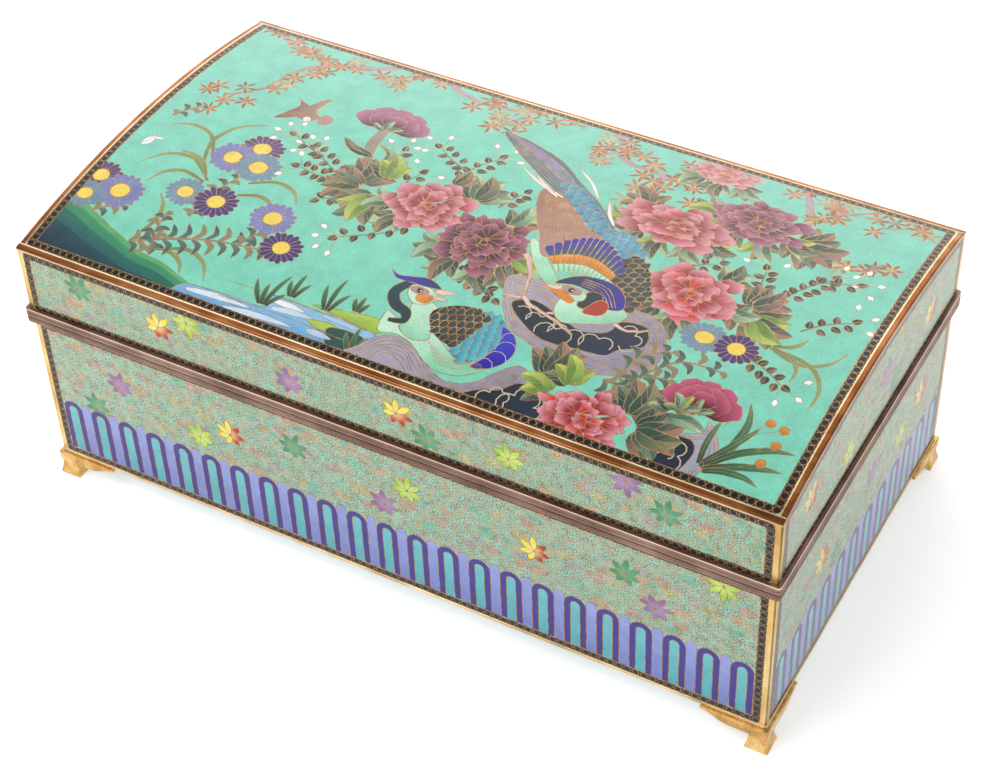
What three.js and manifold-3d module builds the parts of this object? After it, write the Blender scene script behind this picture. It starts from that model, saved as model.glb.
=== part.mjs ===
// A cloisonné enamel box with a loose domed lid on four bracket feet, empty inside.
//
// Millimetres, +Z up. The origin is the middle of the footprint, on the surface that the box stands
// on; X runs along the box and the front faces -Y. Enamelled copper panels are set between brass
// corner posts; copper rims edge the joint between lid and body, and a gilt edging frames the top.

import * as THREE from 'three';
import { mergeVertices } from 'three/addons/utils/BufferGeometryUtils.js';
import Module from 'manifold-3d';

const wasm = await Module();
wasm.setup();

// ---------------------------------------------------------------- driving dimensions

const LID_WIDTH = 290; // along X, over the corner posts
const LID_DEPTH = 156; // along Y, over the corner posts
const LID_WALL_HEIGHT = 27.5; // from the lid's rim to the corner of its top
const CROWN_RISE = 8; // how far the top bows up from its long edges to its middle
const BODY_INSET = 0.5; // how far each body wall stands in from the lid wall above it
const BODY_WALL_HEIGHT = 64.25; // between the base band and the body's rim
const WALL = 2.5; // enamelled copper sheet, and the corner posts' square side

const LID_RIM_HEIGHT = 3.5;
const BODY_RIM_HEIGHT = 2.5;
const RIM_OVERHANG = 1.25; // both rims, out from the lid wall
const RIM_EASING = 0.375; // eased edges, which leave a fine groove at the joint
const RIM_CORNER_RADIUS = 1.25;
const LIP_HEIGHT = 3.25; // locating lip on the body's rim, inside the lid
const LIP_THICKNESS = 1.25;
const LIP_CLEARANCE = 0.375;

const EDGING_HEIGHT = 1.25; // top edging as it shows on the walls
const EDGING_ROUND = 0.875;
const POST_ROUND = 0.5;

const BASE_BAND_HEIGHT = 1.5; // brass band under the body walls
const BASE_BAND_PROUD = 0.25;
const BASE_BAND_WIDTH = 6;
const FLOOR_THICKNESS = 2;

const FOOT_HEIGHT = 11;
const FOOT_PROUD = 1.25; // how far a bracket stands out from the body wall
const WING_LENGTH = 25; // each arm of a bracket, from its outer corner
const WING_THICKNESS = 3;
const WING_HEIGHT = 4.25; // at the corner
const WING_TIP_HEIGHT = 1; // at the far end of the arm
const WING_STRAIGHT = 14; // from the corner to where the lower edge starts to rise
const TOE_WIDTH = 7.5; // the square toe where it leaves the bracket
const TOE_FLARE = 1; // how much wider it is on every side near the ground
const TOE_EASING = 0.75; // height over which its foot is eased in again

const ARC_STEPS = 24; // facets across the dome
const ROUND_STEPS = 4; // facets on a small rounded edge
const OGEE_STEPS = 10; // facets on a bracket's lower edge
const FLARE_STEPS = 6; // facets down a toe

// ---------------------------------------------------------------- levels and half sizes

const BODY_BASE_Z = FOOT_HEIGHT;
const BODY_WALL_Z = BODY_BASE_Z + BASE_BAND_HEIGHT;
const BODY_RIM_Z = BODY_WALL_Z + BODY_WALL_HEIGHT;
const JOINT_Z = BODY_RIM_Z + BODY_RIM_HEIGHT;
const LID_WALL_Z = JOINT_Z + LID_RIM_HEIGHT;
const LID_EDGE_Z = LID_WALL_Z + LID_WALL_HEIGHT;

const LID_HALF_X = LID_WIDTH / 2;
const LID_HALF_Y = LID_DEPTH / 2;
const BODY_HALF_X = LID_HALF_X - BODY_INSET;
const BODY_HALF_Y = LID_HALF_Y - BODY_INSET;

// ---------------------------------------------------------------- materials

const finish = (color, roughness, metalness) =>
  new THREE.MeshStandardMaterial({ color, roughness, metalness });

const PICTURE_ENAMEL = finish(0x7fd0b6, 0.15, 0);
const SCROLL_ENAMEL = finish(0x9fbfae, 0.2, 0);
const LINING_ENAMEL = finish(0x3f8fa6, 0.25, 0);
const GILT_EDGE = finish(0xa8683c, 0.35, 1);
const POST_BRASS = finish(0xd8b070, 0.3, 1);
const RIM_COPPER = finish(0xa88474, 0.45, 1);
const FOOT_BRASS = finish(0xe3bf70, 0.3, 1);

// ---------------------------------------------------------------- shape helpers

// Joins matching rings of points with quads. An open row gets a fan over each (convex) end; a
// looped row joins its last ring to its first. Faces are turned to point outwards.
function skin(rings, looped = false) {
  const size = rings[0].length;
  const faces = [];
  const spans = looped ? rings.length : rings.length - 1;
  for (let i = 0; i < spans; i += 1) {
    const here = i * size;
    const next = ((i + 1) % rings.length) * size;
    for (let j = 0; j < size; j += 1) {
      const k = (j + 1) % size;
      faces.push([here + j, here + k, next + k], [here + j, next + k, next + j]);
    }
  }
  if (!looped) {
    const last = (rings.length - 1) * size;
    for (let j = 1; j < size - 1; j += 1) {
      faces.push([0, j + 1, j], [last, last + j, last + j + 1]);
    }
  }
  const points = rings.flat();
  const volume = faces.reduce((sum, [a, b, c]) =>
    sum + points[a].dot(points[b].clone().cross(points[c])), 0);
  const outward = volume > 0 ? faces : faces.map(([a, b, c]) => [a, c, b]);
  const geometry = new THREE.BufferGeometry().setFromPoints(points);
  geometry.setIndex(outward.flat());
  return geometry;
}

// A straight bar along X with a section given as [y, z] points.
function barAlongX(section, xLow, xHigh) {
  const shape = new THREE.Shape(section.map(([y, z]) => new THREE.Vector2(y, z)));
  const geometry = new THREE.ExtrudeGeometry(shape, { depth: xHigh - xLow, bevelEnabled: false });
  const axes = [new THREE.Vector3(0, 1, 0), new THREE.Vector3(0, 0, 1), new THREE.Vector3(1, 0, 0)];
  geometry.applyMatrix4(new THREE.Matrix4().makeBasis(...axes));
  return geometry.translate(xLow, 0, 0);
}

function block(low, high) {
  const size = high.map((value, i) => value - low[i]);
  const middle = high.map((value, i) => (value + low[i]) / 2);
  return new THREE.BoxGeometry(...size).translate(...middle);
}

// Numbers from first to last in equal steps.
const spread = (first, last, steps) =>
  Array.from({ length: steps + 1 }, (_, i) => first + ((last - first) * i) / steps);

// A quarter round of [across, up] points about a centre, from straight outwards to straight up.
const quarterRound = (across, up, radius) =>
  spread(0, Math.PI / 2, ROUND_STEPS).map((turn) =>
    [across + radius * Math.cos(turn), up + radius * Math.sin(turn)]);

// ---------------------------------------------------------------- the dome

const domeRadius = (LID_HALF_Y ** 2 + CROWN_RISE ** 2) / (2 * CROWN_RISE);

// Height of the lid's top at a distance y from its long axis.
const domeZ = (y) =>
  LID_EDGE_Z + CROWN_RISE - domeRadius + Math.sqrt(domeRadius ** 2 - y ** 2);

const edgeInnerY = LID_HALF_Y - WALL;
const domeStations = spread(-edgeInnerY, edgeInnerY, ARC_STEPS);

// The dome's line across the top, lowered by a drop, as [y, z] points.
const domeLine = (drop) => domeStations.map((y) => [y, domeZ(y) - drop]);

function lidTopPanel() {
  const section = [...domeLine(WALL), ...domeLine(0).reverse()];
  return barAlongX(section, -LID_HALF_X + WALL, LID_HALF_X - WALL);
}

function lidEndPanel(side) {
  const section = [[-edgeInnerY, LID_WALL_Z], [edgeInnerY, LID_WALL_Z],
    ...domeLine(EDGING_HEIGHT).reverse()];
  const [near, far] = [LID_HALF_X - WALL, LID_HALF_X].map((x) => side * x);
  return barAlongX(section, Math.min(near, far), Math.max(near, far));
}

// ---------------------------------------------------------------- edging round the top

function longEdging(side) {
  const low = LID_EDGE_Z - EDGING_HEIGHT;
  const section = [
    [edgeInnerY, low],
    [LID_HALF_Y, low],
    ...quarterRound(LID_HALF_Y - EDGING_ROUND, LID_EDGE_Z - EDGING_ROUND, EDGING_ROUND),
    [edgeInnerY, domeZ(edgeInnerY)],
  ].map(([y, z]) => [side * y, z]);
  return barAlongX(section, -LID_HALF_X, LID_HALF_X);
}

function endEdging(side) {
  const section = [
    [LID_HALF_X - WALL, -EDGING_HEIGHT],
    [LID_HALF_X, -EDGING_HEIGHT],
    ...quarterRound(LID_HALF_X - EDGING_ROUND, -EDGING_ROUND, EDGING_ROUND),
    [LID_HALF_X - WALL, 0],
  ];
  return skin(domeStations.map((y) =>
    section.map(([x, rise]) => new THREE.Vector3(side * x, y, domeZ(y) + rise))));
}

// ---------------------------------------------------------------- posts, rims and base band

// A square post in the corner towards (sideX, sideY), its outer arris rounded.
function cornerPost(sideX, sideY, halfX, halfY, low, high) {
  const outline = [
    [halfX - WALL, halfY - WALL],
    [halfX, halfY - WALL],
    ...quarterRound(halfX - POST_ROUND, halfY - POST_ROUND, POST_ROUND),
    [halfX - WALL, halfY],
  ].map(([x, y]) => new THREE.Vector2(sideX * x, sideY * y));
  const settings = { depth: high - low, bevelEnabled: false };
  return new THREE.ExtrudeGeometry(new THREE.Shape(outline), settings).translate(0, 0, low);
}

// A rectangle round the box, drawn in by an inset from the lid wall's outer face.
function roundedLoop(inset, z) {
  const halfX = LID_HALF_X - inset - RIM_CORNER_RADIUS;
  const halfY = LID_HALF_Y - inset - RIM_CORNER_RADIUS;
  const corner = quarterRound(0, 0, RIM_CORNER_RADIUS);
  const loop = [];
  for (const [sideX, sideY] of [[1, 1], [-1, 1], [-1, -1], [1, -1]]) {
    const arc = sideX * sideY > 0 ? corner : [...corner].reverse();
    arc.forEach(([x, y]) =>
      loop.push(new THREE.Vector3(sideX * (halfX + x), sideY * (halfY + y), z)));
  }
  return loop;
}

// A mitred frame round the box with a section given as [inset, z] points.
const frameRing = (section) => skin(section.map(([inset, z]) => roundedLoop(inset, z)), true);

const lidRim = () => frameRing([
  [-RIM_OVERHANG + RIM_EASING, JOINT_Z],
  [-RIM_OVERHANG, JOINT_Z + RIM_EASING],
  [-RIM_OVERHANG, LID_WALL_Z - RIM_EASING],
  [-RIM_OVERHANG + RIM_EASING, LID_WALL_Z],
  [WALL, LID_WALL_Z],
  [WALL, JOINT_Z],
]);

function bodyRim() {
  const lipOuter = WALL + LIP_CLEARANCE;
  const lipInner = lipOuter + LIP_THICKNESS;
  const lipTop = JOINT_Z + LIP_HEIGHT;
  return frameRing([
    [-RIM_OVERHANG + RIM_EASING, BODY_RIM_Z],
    [-RIM_OVERHANG, BODY_RIM_Z + RIM_EASING],
    [-RIM_OVERHANG, JOINT_Z - RIM_EASING],
    [-RIM_OVERHANG + RIM_EASING, JOINT_Z],
    [lipOuter, JOINT_Z],
    [lipOuter, lipTop - RIM_EASING],
    [lipOuter + RIM_EASING, lipTop],
    [lipInner, lipTop],
    [lipInner, BODY_RIM_Z],
  ]);
}

const baseBand = () => {
  const outer = BODY_INSET - BASE_BAND_PROUD;
  return frameRing([
    [outer, BODY_BASE_Z],
    [outer, BODY_WALL_Z - BASE_BAND_PROUD],
    [BODY_INSET, BODY_WALL_Z],
    [outer + BASE_BAND_WIDTH, BODY_WALL_Z],
    [outer + BASE_BAND_WIDTH, BODY_BASE_Z],
  ]);
};

// ---------------------------------------------------------------- bracket feet

// Each foot is worked out for the corner towards +X and +Y, then mirrored to its own corner.
const footX = BODY_HALF_X + FOOT_PROUD;
const footY = BODY_HALF_Y + FOOT_PROUD;

// One arm's outline as [distance from the corner, height]: a straight stretch, then an ogee rise.
function wingOutline() {
  const drop = WING_HEIGHT - WING_TIP_HEIGHT;
  const ogee = spread(0, 1, OGEE_STEPS).map((part) => [
    WING_LENGTH - part * (WING_LENGTH - WING_STRAIGHT),
    FOOT_HEIGHT - WING_TIP_HEIGHT - (drop * (1 - Math.cos(Math.PI * part))) / 2,
  ]);
  return [[0, FOOT_HEIGHT], [WING_LENGTH, FOOT_HEIGHT], ...ogee, [0, FOOT_HEIGHT - WING_HEIGHT]];
}

// An arm as a solid: its outline runs back from the corner along `back`, its thickness along `deep`.
function wing(back, deep, start) {
  const shape = new THREE.Shape(wingOutline().map(([along, z]) => new THREE.Vector2(along, z)));
  const settings = { depth: WING_THICKNESS, bevelEnabled: false };
  const geometry = new THREE.ExtrudeGeometry(shape, settings);
  geometry.applyMatrix4(new THREE.Matrix4().makeBasis(back, new THREE.Vector3(0, 0, 1), deep));
  return geometry.translate(...start);
}

// A square toe that flares in a hollow curve towards the ground and is eased in at its sole.
function toe() {
  const top = FOOT_HEIGHT - WING_HEIGHT + 1; // reaches up into the bracket
  const levels = spread(0, 1, FLARE_STEPS).map((part) =>
    [top + (TOE_EASING - top) * part, TOE_FLARE * part ** 2]);
  levels.push([0, TOE_FLARE / 2]);
  return skin(levels.map(([z, flare]) => {
    const reach = flare - TOE_FLARE / 2; // ends as far proud of the bracket as it starts behind
    const width = TOE_WIDTH + flare;
    return [
      new THREE.Vector3(footX + reach, footY + reach, z),
      new THREE.Vector3(footX - width, footY + reach, z),
      new THREE.Vector3(footX - width, footY - width, z),
      new THREE.Vector3(footX + reach, footY - width, z),
    ];
  }));
}

// A closed three.js geometry as a manifold solid.
function solidOf(geometry) {
  const bare = geometry.clone();
  bare.deleteAttribute('normal');
  bare.deleteAttribute('uv');
  const merged = mergeVertices(bare, 1e-4);
  return new wasm.Manifold(new wasm.Mesh({
    numProp: 3,
    vertProperties: Float32Array.from(merged.attributes.position.array),
    triVerts: Uint32Array.from(merged.index.array),
  }));
}

// The foot for the corner towards +X and +Y.
function cornerFoot() {
  const alongX = wing(new THREE.Vector3(-1, 0, 0), new THREE.Vector3(0, 1, 0),
    [footX, footY - WING_THICKNESS, 0]);
  const alongY = wing(new THREE.Vector3(0, -1, 0), new THREE.Vector3(-1, 0, 0),
    [footX, footY, 0]);
  const joined = solidOf(alongX).add(solidOf(alongY)).add(solidOf(toe())).getMesh();
  const geometry = new THREE.BufferGeometry();
  geometry.setAttribute('position', new THREE.BufferAttribute(joined.vertProperties, 3));
  geometry.setIndex([...joined.triVerts]);
  return geometry;
}

// The corner foot mirrored to the corner towards (sideX, sideY).
function bracketFoot(sideX, sideY) {
  const geometry = cornerFoot().scale(sideX, sideY, 1);
  if (sideX * sideY < 0) geometry.setIndex(turned(geometry.index.array));
  return geometry;
}

// The same triangles seen from their other side.
function turned(corners) {
  const flipped = [...corners];
  for (let i = 0; i < flipped.length; i += 3) {
    [flipped[i + 1], flipped[i + 2]] = [flipped[i + 2], flipped[i + 1]];
  }
  return flipped;
}

// ---------------------------------------------------------------- the box, piece by piece

const box = new THREE.Group();

function add(name, geometry, material) {
  const mesh = new THREE.Mesh(geometry, material);
  mesh.name = name;
  box.add(mesh);
}

const SIDES_Y = { front: -1, back: 1 };
const SIDES_X = { left: -1, right: 1 };

// A flat wall sheet at the front or back, between two corner posts.
function longWall(sideY, halfX, halfY, low, high) {
  const [inner, outer] = [sideY * (halfY - WALL), sideY * halfY].sort((a, b) => a - b);
  return block([-halfX + WALL, inner, low], [halfX - WALL, outer, high]);
}

function endWall(sideX, halfX, halfY, low, high) {
  const [inner, outer] = [sideX * (halfX - WALL), sideX * halfX].sort((a, b) => a - b);
  return block([inner, -halfY + WALL, low], [outer, halfY - WALL, high]);
}

const LID_POST_TOP = LID_EDGE_Z - EDGING_HEIGHT;

add('body_base_band', baseBand(), POST_BRASS);
add('body_floor', block(
  [-BODY_HALF_X + WALL, -BODY_HALF_Y + WALL, BODY_WALL_Z],
  [BODY_HALF_X - WALL, BODY_HALF_Y - WALL, BODY_WALL_Z + FLOOR_THICKNESS],
), LINING_ENAMEL);
add('body_rim', bodyRim(), RIM_COPPER);
add('lid_rim', lidRim(), RIM_COPPER);
add('lid_top_panel', lidTopPanel(), PICTURE_ENAMEL);

for (const [name, side] of Object.entries(SIDES_Y)) {
  add(`body_${name}_panel`,
    longWall(side, BODY_HALF_X, BODY_HALF_Y, BODY_WALL_Z, BODY_RIM_Z), SCROLL_ENAMEL);
  add(`lid_${name}_panel`,
    longWall(side, LID_HALF_X, LID_HALF_Y, LID_WALL_Z, LID_POST_TOP), SCROLL_ENAMEL);
  add(`lid_${name}_edging`, longEdging(side), GILT_EDGE);
}

for (const [name, side] of Object.entries(SIDES_X)) {
  add(`body_${name}_panel`,
    endWall(side, BODY_HALF_X, BODY_HALF_Y, BODY_WALL_Z, BODY_RIM_Z), SCROLL_ENAMEL);
  add(`lid_${name}_panel`, lidEndPanel(side), SCROLL_ENAMEL);
  add(`lid_${name}_edging`, endEdging(side), GILT_EDGE);
}

for (const [nameY, sideY] of Object.entries(SIDES_Y)) {
  for (const [nameX, sideX] of Object.entries(SIDES_X)) {
    const corner = `${nameY}_${nameX}`;
    add(`body_post_${corner}`,
      cornerPost(sideX, sideY, BODY_HALF_X, BODY_HALF_Y, BODY_WALL_Z, BODY_RIM_Z), POST_BRASS);
    add(`lid_post_${corner}`,
      cornerPost(sideX, sideY, LID_HALF_X, LID_HALF_Y, LID_WALL_Z, LID_POST_TOP), POST_BRASS);
    add(`foot_${corner}`, bracketFoot(sideX, sideY), FOOT_BRASS);
  }
}

export default box;
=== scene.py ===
"""A cloisonné enamel box with a loose domed lid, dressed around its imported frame.

The walls and the lid's top are closed sheets whose outer faces are divided into cells: each cell
holds one enamel, and the wires between the cells lie flush with it, as they do once the real work
is ground and polished. The rims, posts, edging and feet are modelled over their frame nodes.
Drawings are laid out in millimetres on the flat of each panel and placed in metres.
"""

from __future__ import annotations

import cmath
import logging
import math
import random
from dataclasses import dataclass, field
from enum import Enum
from typing import Any, Callable, Iterable, Sequence

import bmesh
import bpy
import numpy as np
from mathutils import Matrix, Vector
from mathutils.geometry import delaunay_2d_cdt

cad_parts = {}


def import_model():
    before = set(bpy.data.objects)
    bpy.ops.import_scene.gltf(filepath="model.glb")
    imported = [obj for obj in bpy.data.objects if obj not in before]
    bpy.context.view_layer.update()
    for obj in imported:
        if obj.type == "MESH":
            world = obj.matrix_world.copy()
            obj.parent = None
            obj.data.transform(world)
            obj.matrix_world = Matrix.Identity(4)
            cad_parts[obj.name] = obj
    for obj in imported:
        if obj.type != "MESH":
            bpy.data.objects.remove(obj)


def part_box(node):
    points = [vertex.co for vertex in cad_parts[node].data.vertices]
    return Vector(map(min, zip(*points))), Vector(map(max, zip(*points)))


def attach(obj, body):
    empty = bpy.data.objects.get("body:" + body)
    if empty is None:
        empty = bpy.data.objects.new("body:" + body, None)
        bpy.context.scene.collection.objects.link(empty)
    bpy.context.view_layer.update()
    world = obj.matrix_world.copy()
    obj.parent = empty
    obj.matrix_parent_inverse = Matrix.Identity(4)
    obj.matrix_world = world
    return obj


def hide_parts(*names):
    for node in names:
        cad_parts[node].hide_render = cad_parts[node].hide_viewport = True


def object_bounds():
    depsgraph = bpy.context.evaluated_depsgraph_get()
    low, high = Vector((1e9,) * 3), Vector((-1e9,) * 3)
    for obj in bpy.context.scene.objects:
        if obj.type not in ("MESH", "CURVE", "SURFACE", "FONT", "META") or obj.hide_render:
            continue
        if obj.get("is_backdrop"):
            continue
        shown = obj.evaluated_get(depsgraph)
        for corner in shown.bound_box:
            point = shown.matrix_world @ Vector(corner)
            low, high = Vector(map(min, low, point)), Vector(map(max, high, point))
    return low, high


LOG = logging.getLogger("cloisonne_box")

MM = 0.001
GLAZE_ATTRIBUTE = "Glaze"
BAKE_MAP = "OFBake"

Line = list[complex]
Colour = tuple[float, float, float]
Box = tuple[float, float, float, float]
Cuts = list[tuple[complex, complex]]
Tree = bpy.types.NodeTree
Node = bpy.types.Node
Socket = bpy.types.NodeSocket
Piece = bpy.types.Object
Mesh = bpy.types.Mesh

# Two places closer than this, in millimetres, are the same, and a face or edge whose direction
# has this much along an axis is square on to it.
SAME_PLACE = 0.01
SQUARE_ON = 0.9
# Edges sharper than this many degrees are eased, and softer ones are shaded smooth.
EASED_ANGLE, SMOOTH_ANGLE = 28, 32
SENSOR_WIDTH = 36.0


# ------------------------------------------------------------------------ colour and nodes


def linear(code: str) -> Colour:
    """Turn an sRGB hex colour to linear light.

    Args:
        code: The colour as "#rrggbb".

    Returns:
        Its linear red, green and blue.
    """
    parts = [int(code[i : i + 2], 16) / 255 for i in (1, 3, 5)]
    return tuple(c / 12.92 if c <= 0.04045 else ((c + 0.055) / 1.055) ** 2.4 for c in parts)


def add_node(
    tree: Tree,
    kind: str,
    settings: dict[str, object] | None = None,
    inputs: dict[str, object] | None = None,
) -> Node:
    """Add a node with its settings, values and links.

    Args:
        tree: The node tree that the node joins.
        kind: The node's type name without the ShaderNode prefix.
        settings: Properties to set on the node.
        inputs: A value or an output socket for each named or numbered input.

    Returns:
        The new node.
    """
    node = tree.nodes.new("ShaderNode" + kind)
    for name, value in (settings or {}).items():
        setattr(node, name, value)
    for name, value in (inputs or {}).items():
        socket = node.inputs[int(name) if name.isdigit() else name]
        if isinstance(value, Socket):
            tree.links.new(value, socket)
        elif isinstance(value, str):
            socket.default_value = (*linear(value), 1.0)
        else:
            socket.default_value = value
    return node


def ramp(tree: Tree, factor: Socket, stops: Sequence[tuple[float, str]]) -> Socket:
    """Add a colour ramp.

    Args:
        tree: The node tree.
        factor: What drives the ramp.
        stops: Each stop's place and sRGB hex colour.

    Returns:
        The ramp's colour output.
    """
    node = add_node(tree, "ValToRGB", inputs={"Fac": factor})
    elements = node.color_ramp.elements
    while len(elements) < len(stops):
        elements.new(0.5)
    for element, (place, code) in zip(elements, stops):
        element.position = place
        element.color = (*linear(code), 1.0)
    return node.outputs["Color"]


@dataclass(frozen=True)
class Finish:
    """What every finish has: a name, and nodes that end in one Principled shader."""

    name: str

    def material(self) -> bpy.types.Material:
        """Return this finish's material, made the first time it is asked for."""
        found = bpy.data.materials.get(self.name)
        if found is not None:
            return found
        made = bpy.data.materials.new(self.name)
        made.use_nodes = True
        tree = made.node_tree
        tree.nodes.clear()
        shader = add_node(tree, "BsdfPrincipled")
        add_node(tree, "OutputMaterial", inputs={"Surface": shader.outputs["BSDF"]})
        self.dress(tree, shader, add_node(tree, "TexCoord").outputs["Object"])
        return made

    def dress(self, tree: Tree, shader: Node, place: Socket) -> None:
        """Link and set the shader. Each finish has its own."""
        raise NotImplementedError

    @staticmethod
    def noise(
        tree: Tree,
        place: Socket,
        grain_mm: float,
        detail: float = 2.0,
        stretch: tuple[float, float, float] = (1.0, 1.0, 1.0),
    ) -> Socket:
        """Add noise of a real grain size.

        Args:
            tree: The node tree.
            place: The coordinates it reads.
            grain_mm: About how far apart its lumps are.
            detail: Octaves of finer noise.
            stretch: How many times longer the lumps are along X, Y and Z.

        Returns:
            The noise's value.
        """
        scale = tuple(1.0 / s for s in stretch)
        held = add_node(tree, "Mapping", inputs={"Vector": place, "Scale": scale})
        node = add_node(
            tree,
            "TexNoise",
            inputs={"Vector": held.outputs[0], "Scale": 1.0 / (grain_mm * MM), "Detail": detail},
        )
        return node.outputs["Fac"]


@dataclass(frozen=True)
class EnamelGlaze(Finish):
    """Vitreous enamel: powdered glass fused on copper, stoned level with the wires and polished.

    The eye sees a deep, even colour in each cell under a clear gloss, with faint clouding where
    the powder lay unevenly, and a few pinholes left by bubbles.
    """

    name: str = "vitreous_enamel"
    cloud_mm: float = 7.0
    grain_mm: float = 0.9
    pinhole_mm: float = 2.2

    def dress(self, tree: Tree, shader: Node, place: Socket) -> None:
        """Tint the cell colours with clouding, and pit the gloss."""
        glaze = add_node(tree, "Attribute", {"attribute_name": GLAZE_ATTRIBUTE})
        cloud = self.noise(tree, place, self.cloud_mm)
        grain = self.noise(tree, place, self.grain_mm)
        level = add_node(
            tree, "MapRange", inputs={"Value": cloud, "From Min": 0.3, "From Max": 0.7,
                                      "To Min": 0.9, "To Max": 1.08}
        ).outputs[0]
        fine = add_node(
            tree, "MapRange", inputs={"Value": grain, "From Min": 0.3, "From Max": 0.7,
                                      "To Min": 0.93, "To Max": 1.06}
        ).outputs[0]
        value = add_node(tree, "Math", {"operation": "MULTIPLY"}, {"0": level, "1": fine})
        tinted = add_node(
            tree, "HueSaturation", inputs={"Color": glaze.outputs["Color"],
                                           "Value": value.outputs[0], "Saturation": 1.04}
        )
        tree.links.new(tinted.outputs["Color"], shader.inputs["Base Color"])
        cells = add_node(
            tree, "TexVoronoi", inputs={"Vector": place, "Scale": 1.0 / (self.pinhole_mm * MM)}
        )
        hole = add_node(
            tree, "MapRange", inputs={"Value": cells.outputs["Distance"], "From Min": 0.03,
                                      "From Max": 0.07, "To Min": 0.0, "To Max": 1.0}
        ).outputs[0]
        skin = add_node(tree, "Math", {"operation": "MULTIPLY_ADD"}, {"0": grain, "1": 0.12, "2": hole})
        bump = add_node(
            tree, "Bump", inputs={"Height": skin.outputs[0], "Distance": 0.00002, "Strength": 0.5}
        )
        tree.links.new(bump.outputs[0], shader.inputs["Normal"])
        dull = add_node(tree, "MapRange", inputs={"Value": cloud, "To Min": 0.1, "To Max": 0.2})
        tree.links.new(dull.outputs[0], shader.inputs["Roughness"])
        shader.inputs["IOR"].default_value = 1.42


@dataclass(frozen=True)
class WireGilding(Finish):
    """Drawn brass wire, fire-gilt and polished level: warm, slightly mottled gold lines."""

    name: str = "gilt_cloison_wire"
    mottle_mm: float = 3.0

    def dress(self, tree: Tree, shader: Node, place: Socket) -> None:
        """Vary the gilding between fresh gold and worn brown."""
        worn = self.noise(tree, place, self.mottle_mm)
        colour = ramp(tree, worn, [(0.3, "#7e6040"), (0.52, "#a88558"), (0.75, "#c8a878")])
        tree.links.new(colour, shader.inputs["Base Color"])
        shader.inputs["Metallic"].default_value = 1.0
        shader.inputs["Roughness"].default_value = 0.4


@dataclass(frozen=True)
class BrushedMetal(Finish):
    """A copper alloy rubbed along its length with fine abrasive, then left to tone.

    The eye sees fine straight scratches, a colour that drifts between bright and tarnished, and
    brighter metal where hands have polished it.
    """

    name: str
    dark: str
    body: str
    light: str
    roughness: float
    along: tuple[float, float, float] = (40.0, 40.0, 1.0)
    scratch_mm: float = 0.35
    patch_mm: float = 14.0

    def dress(self, tree: Tree, shader: Node, place: Socket) -> None:
        """Drift the tone, and scratch the colour, gloss and surface along the piece."""
        patch = self.noise(tree, place, self.patch_mm, 3.0)
        scratch = self.noise(tree, place, self.scratch_mm, 3.0, self.along)
        mixed = add_node(tree, "Math", {"operation": "MULTIPLY_ADD"},
                         {"0": scratch, "1": 0.55, "2": patch})
        tone = add_node(tree, "MapRange", inputs={"Value": mixed.outputs[0], "From Min": 0.45,
                                                  "From Max": 1.1})
        colour = ramp(tree, tone.outputs[0], [(0.0, self.dark), (0.5, self.body), (1.0, self.light)])
        tree.links.new(colour, shader.inputs["Base Color"])
        gloss = add_node(tree, "MapRange", inputs={
            "Value": scratch, "To Min": self.roughness - 0.1, "To Max": self.roughness + 0.12})
        tree.links.new(gloss.outputs[0], shader.inputs["Roughness"])
        bump = add_node(tree, "Bump", inputs={"Height": scratch, "Distance": 0.00003, "Strength": 0.6})
        tree.links.new(bump.outputs[0], shader.inputs["Normal"])
        shader.inputs["Metallic"].default_value = 1.0
        shader.inputs["Anisotropic"].default_value = 0.3


# The long edges and rims are rubbed along X and Y, the posts along Z.
ENAMEL = EnamelGlaze()
WIRE = WireGilding()
RIM_COPPER = BrushedMetal("rubbed_rim_copper", "#5e483c", "#8a6e60", "#a58b7c", 0.42)
# The rims' arris band is a lighter copy of the rim copper: a painted highlight along their upper edge.
RIM_PAINTED_HIGHLIGHT = BrushedMetal("rim_arris_painted_highlight", "#c09a84", "#e6c4ae", "#f4dcc8", 0.3)
EDGE_COPPER = BrushedMetal("toned_edging_copper", "#6a3c1e", "#985f38", "#bb855a", 0.34)
EDGE_GILT = BrushedMetal("worn_gilt_bead", "#c09060", "#ecca9a", "#fae4c0", 0.3)
UPRIGHT = (1.0, 1.0, 40.0)
POST_BRASS = BrushedMetal("polished_post_brass", "#b08c50", "#dcb674", "#f0d8a4", 0.3, UPRIGHT)
# The posts' chamfered arris is a darker copy of the post brass: painted shade along the corner.
POST_ARRIS_PAINTED_SHADE = BrushedMetal("post_arris_painted_shade", "#66562f", "#8a7848", "#a89460", 0.4, UPRIGHT)
BAND_BRASS = BrushedMetal("rubbed_band_brass", "#a98e62", "#dcbf90", "#f4dfb6", 0.34)
FOOT_BRASS = BrushedMetal(
    "cast_foot_brass", "#8a6636", "#d2a661", "#f6dc9c", 0.28, along=(3.0, 3.0, 1.0), patch_mm=6.0
)


# ------------------------------------------------------------------------ drawing in the flat


def polar(length: float, degrees: float) -> complex:
    """Return the vector of a length at an angle from +X."""
    return cmath.rect(length, math.radians(degrees))


def smooth(points: Iterable[complex], closed: bool = False, steps: int = 5) -> Line:
    """Run a Catmull-Rom curve through points.

    Args:
        points: The points that the curve passes.
        closed: Whether it returns to the first point.
        steps: Straight pieces between two points.

    Returns:
        The points along the curve, without a repeat of the first on a closed one.
    """
    held = list(points)
    count = len(held)
    spans = count if closed else count - 1
    curve: Line = []
    for i in range(spans):
        if closed:
            a, b, c, d = (held[(i + k) % count] for k in (-1, 0, 1, 2))
        else:
            a, b, c, d = (held[min(max(i + k, 0), count - 1)] for k in (-1, 0, 1, 2))
        for k in range(steps):
            t = k / steps
            curve.append(
                0.5 * (2 * b + (c - a) * t + (2 * a - 5 * b + 4 * c - d) * t * t
                       + (3 * b - a - 3 * c + d) * t**3)
            )
    if not closed:
        curve.append(held[-1])
    return curve


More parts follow.
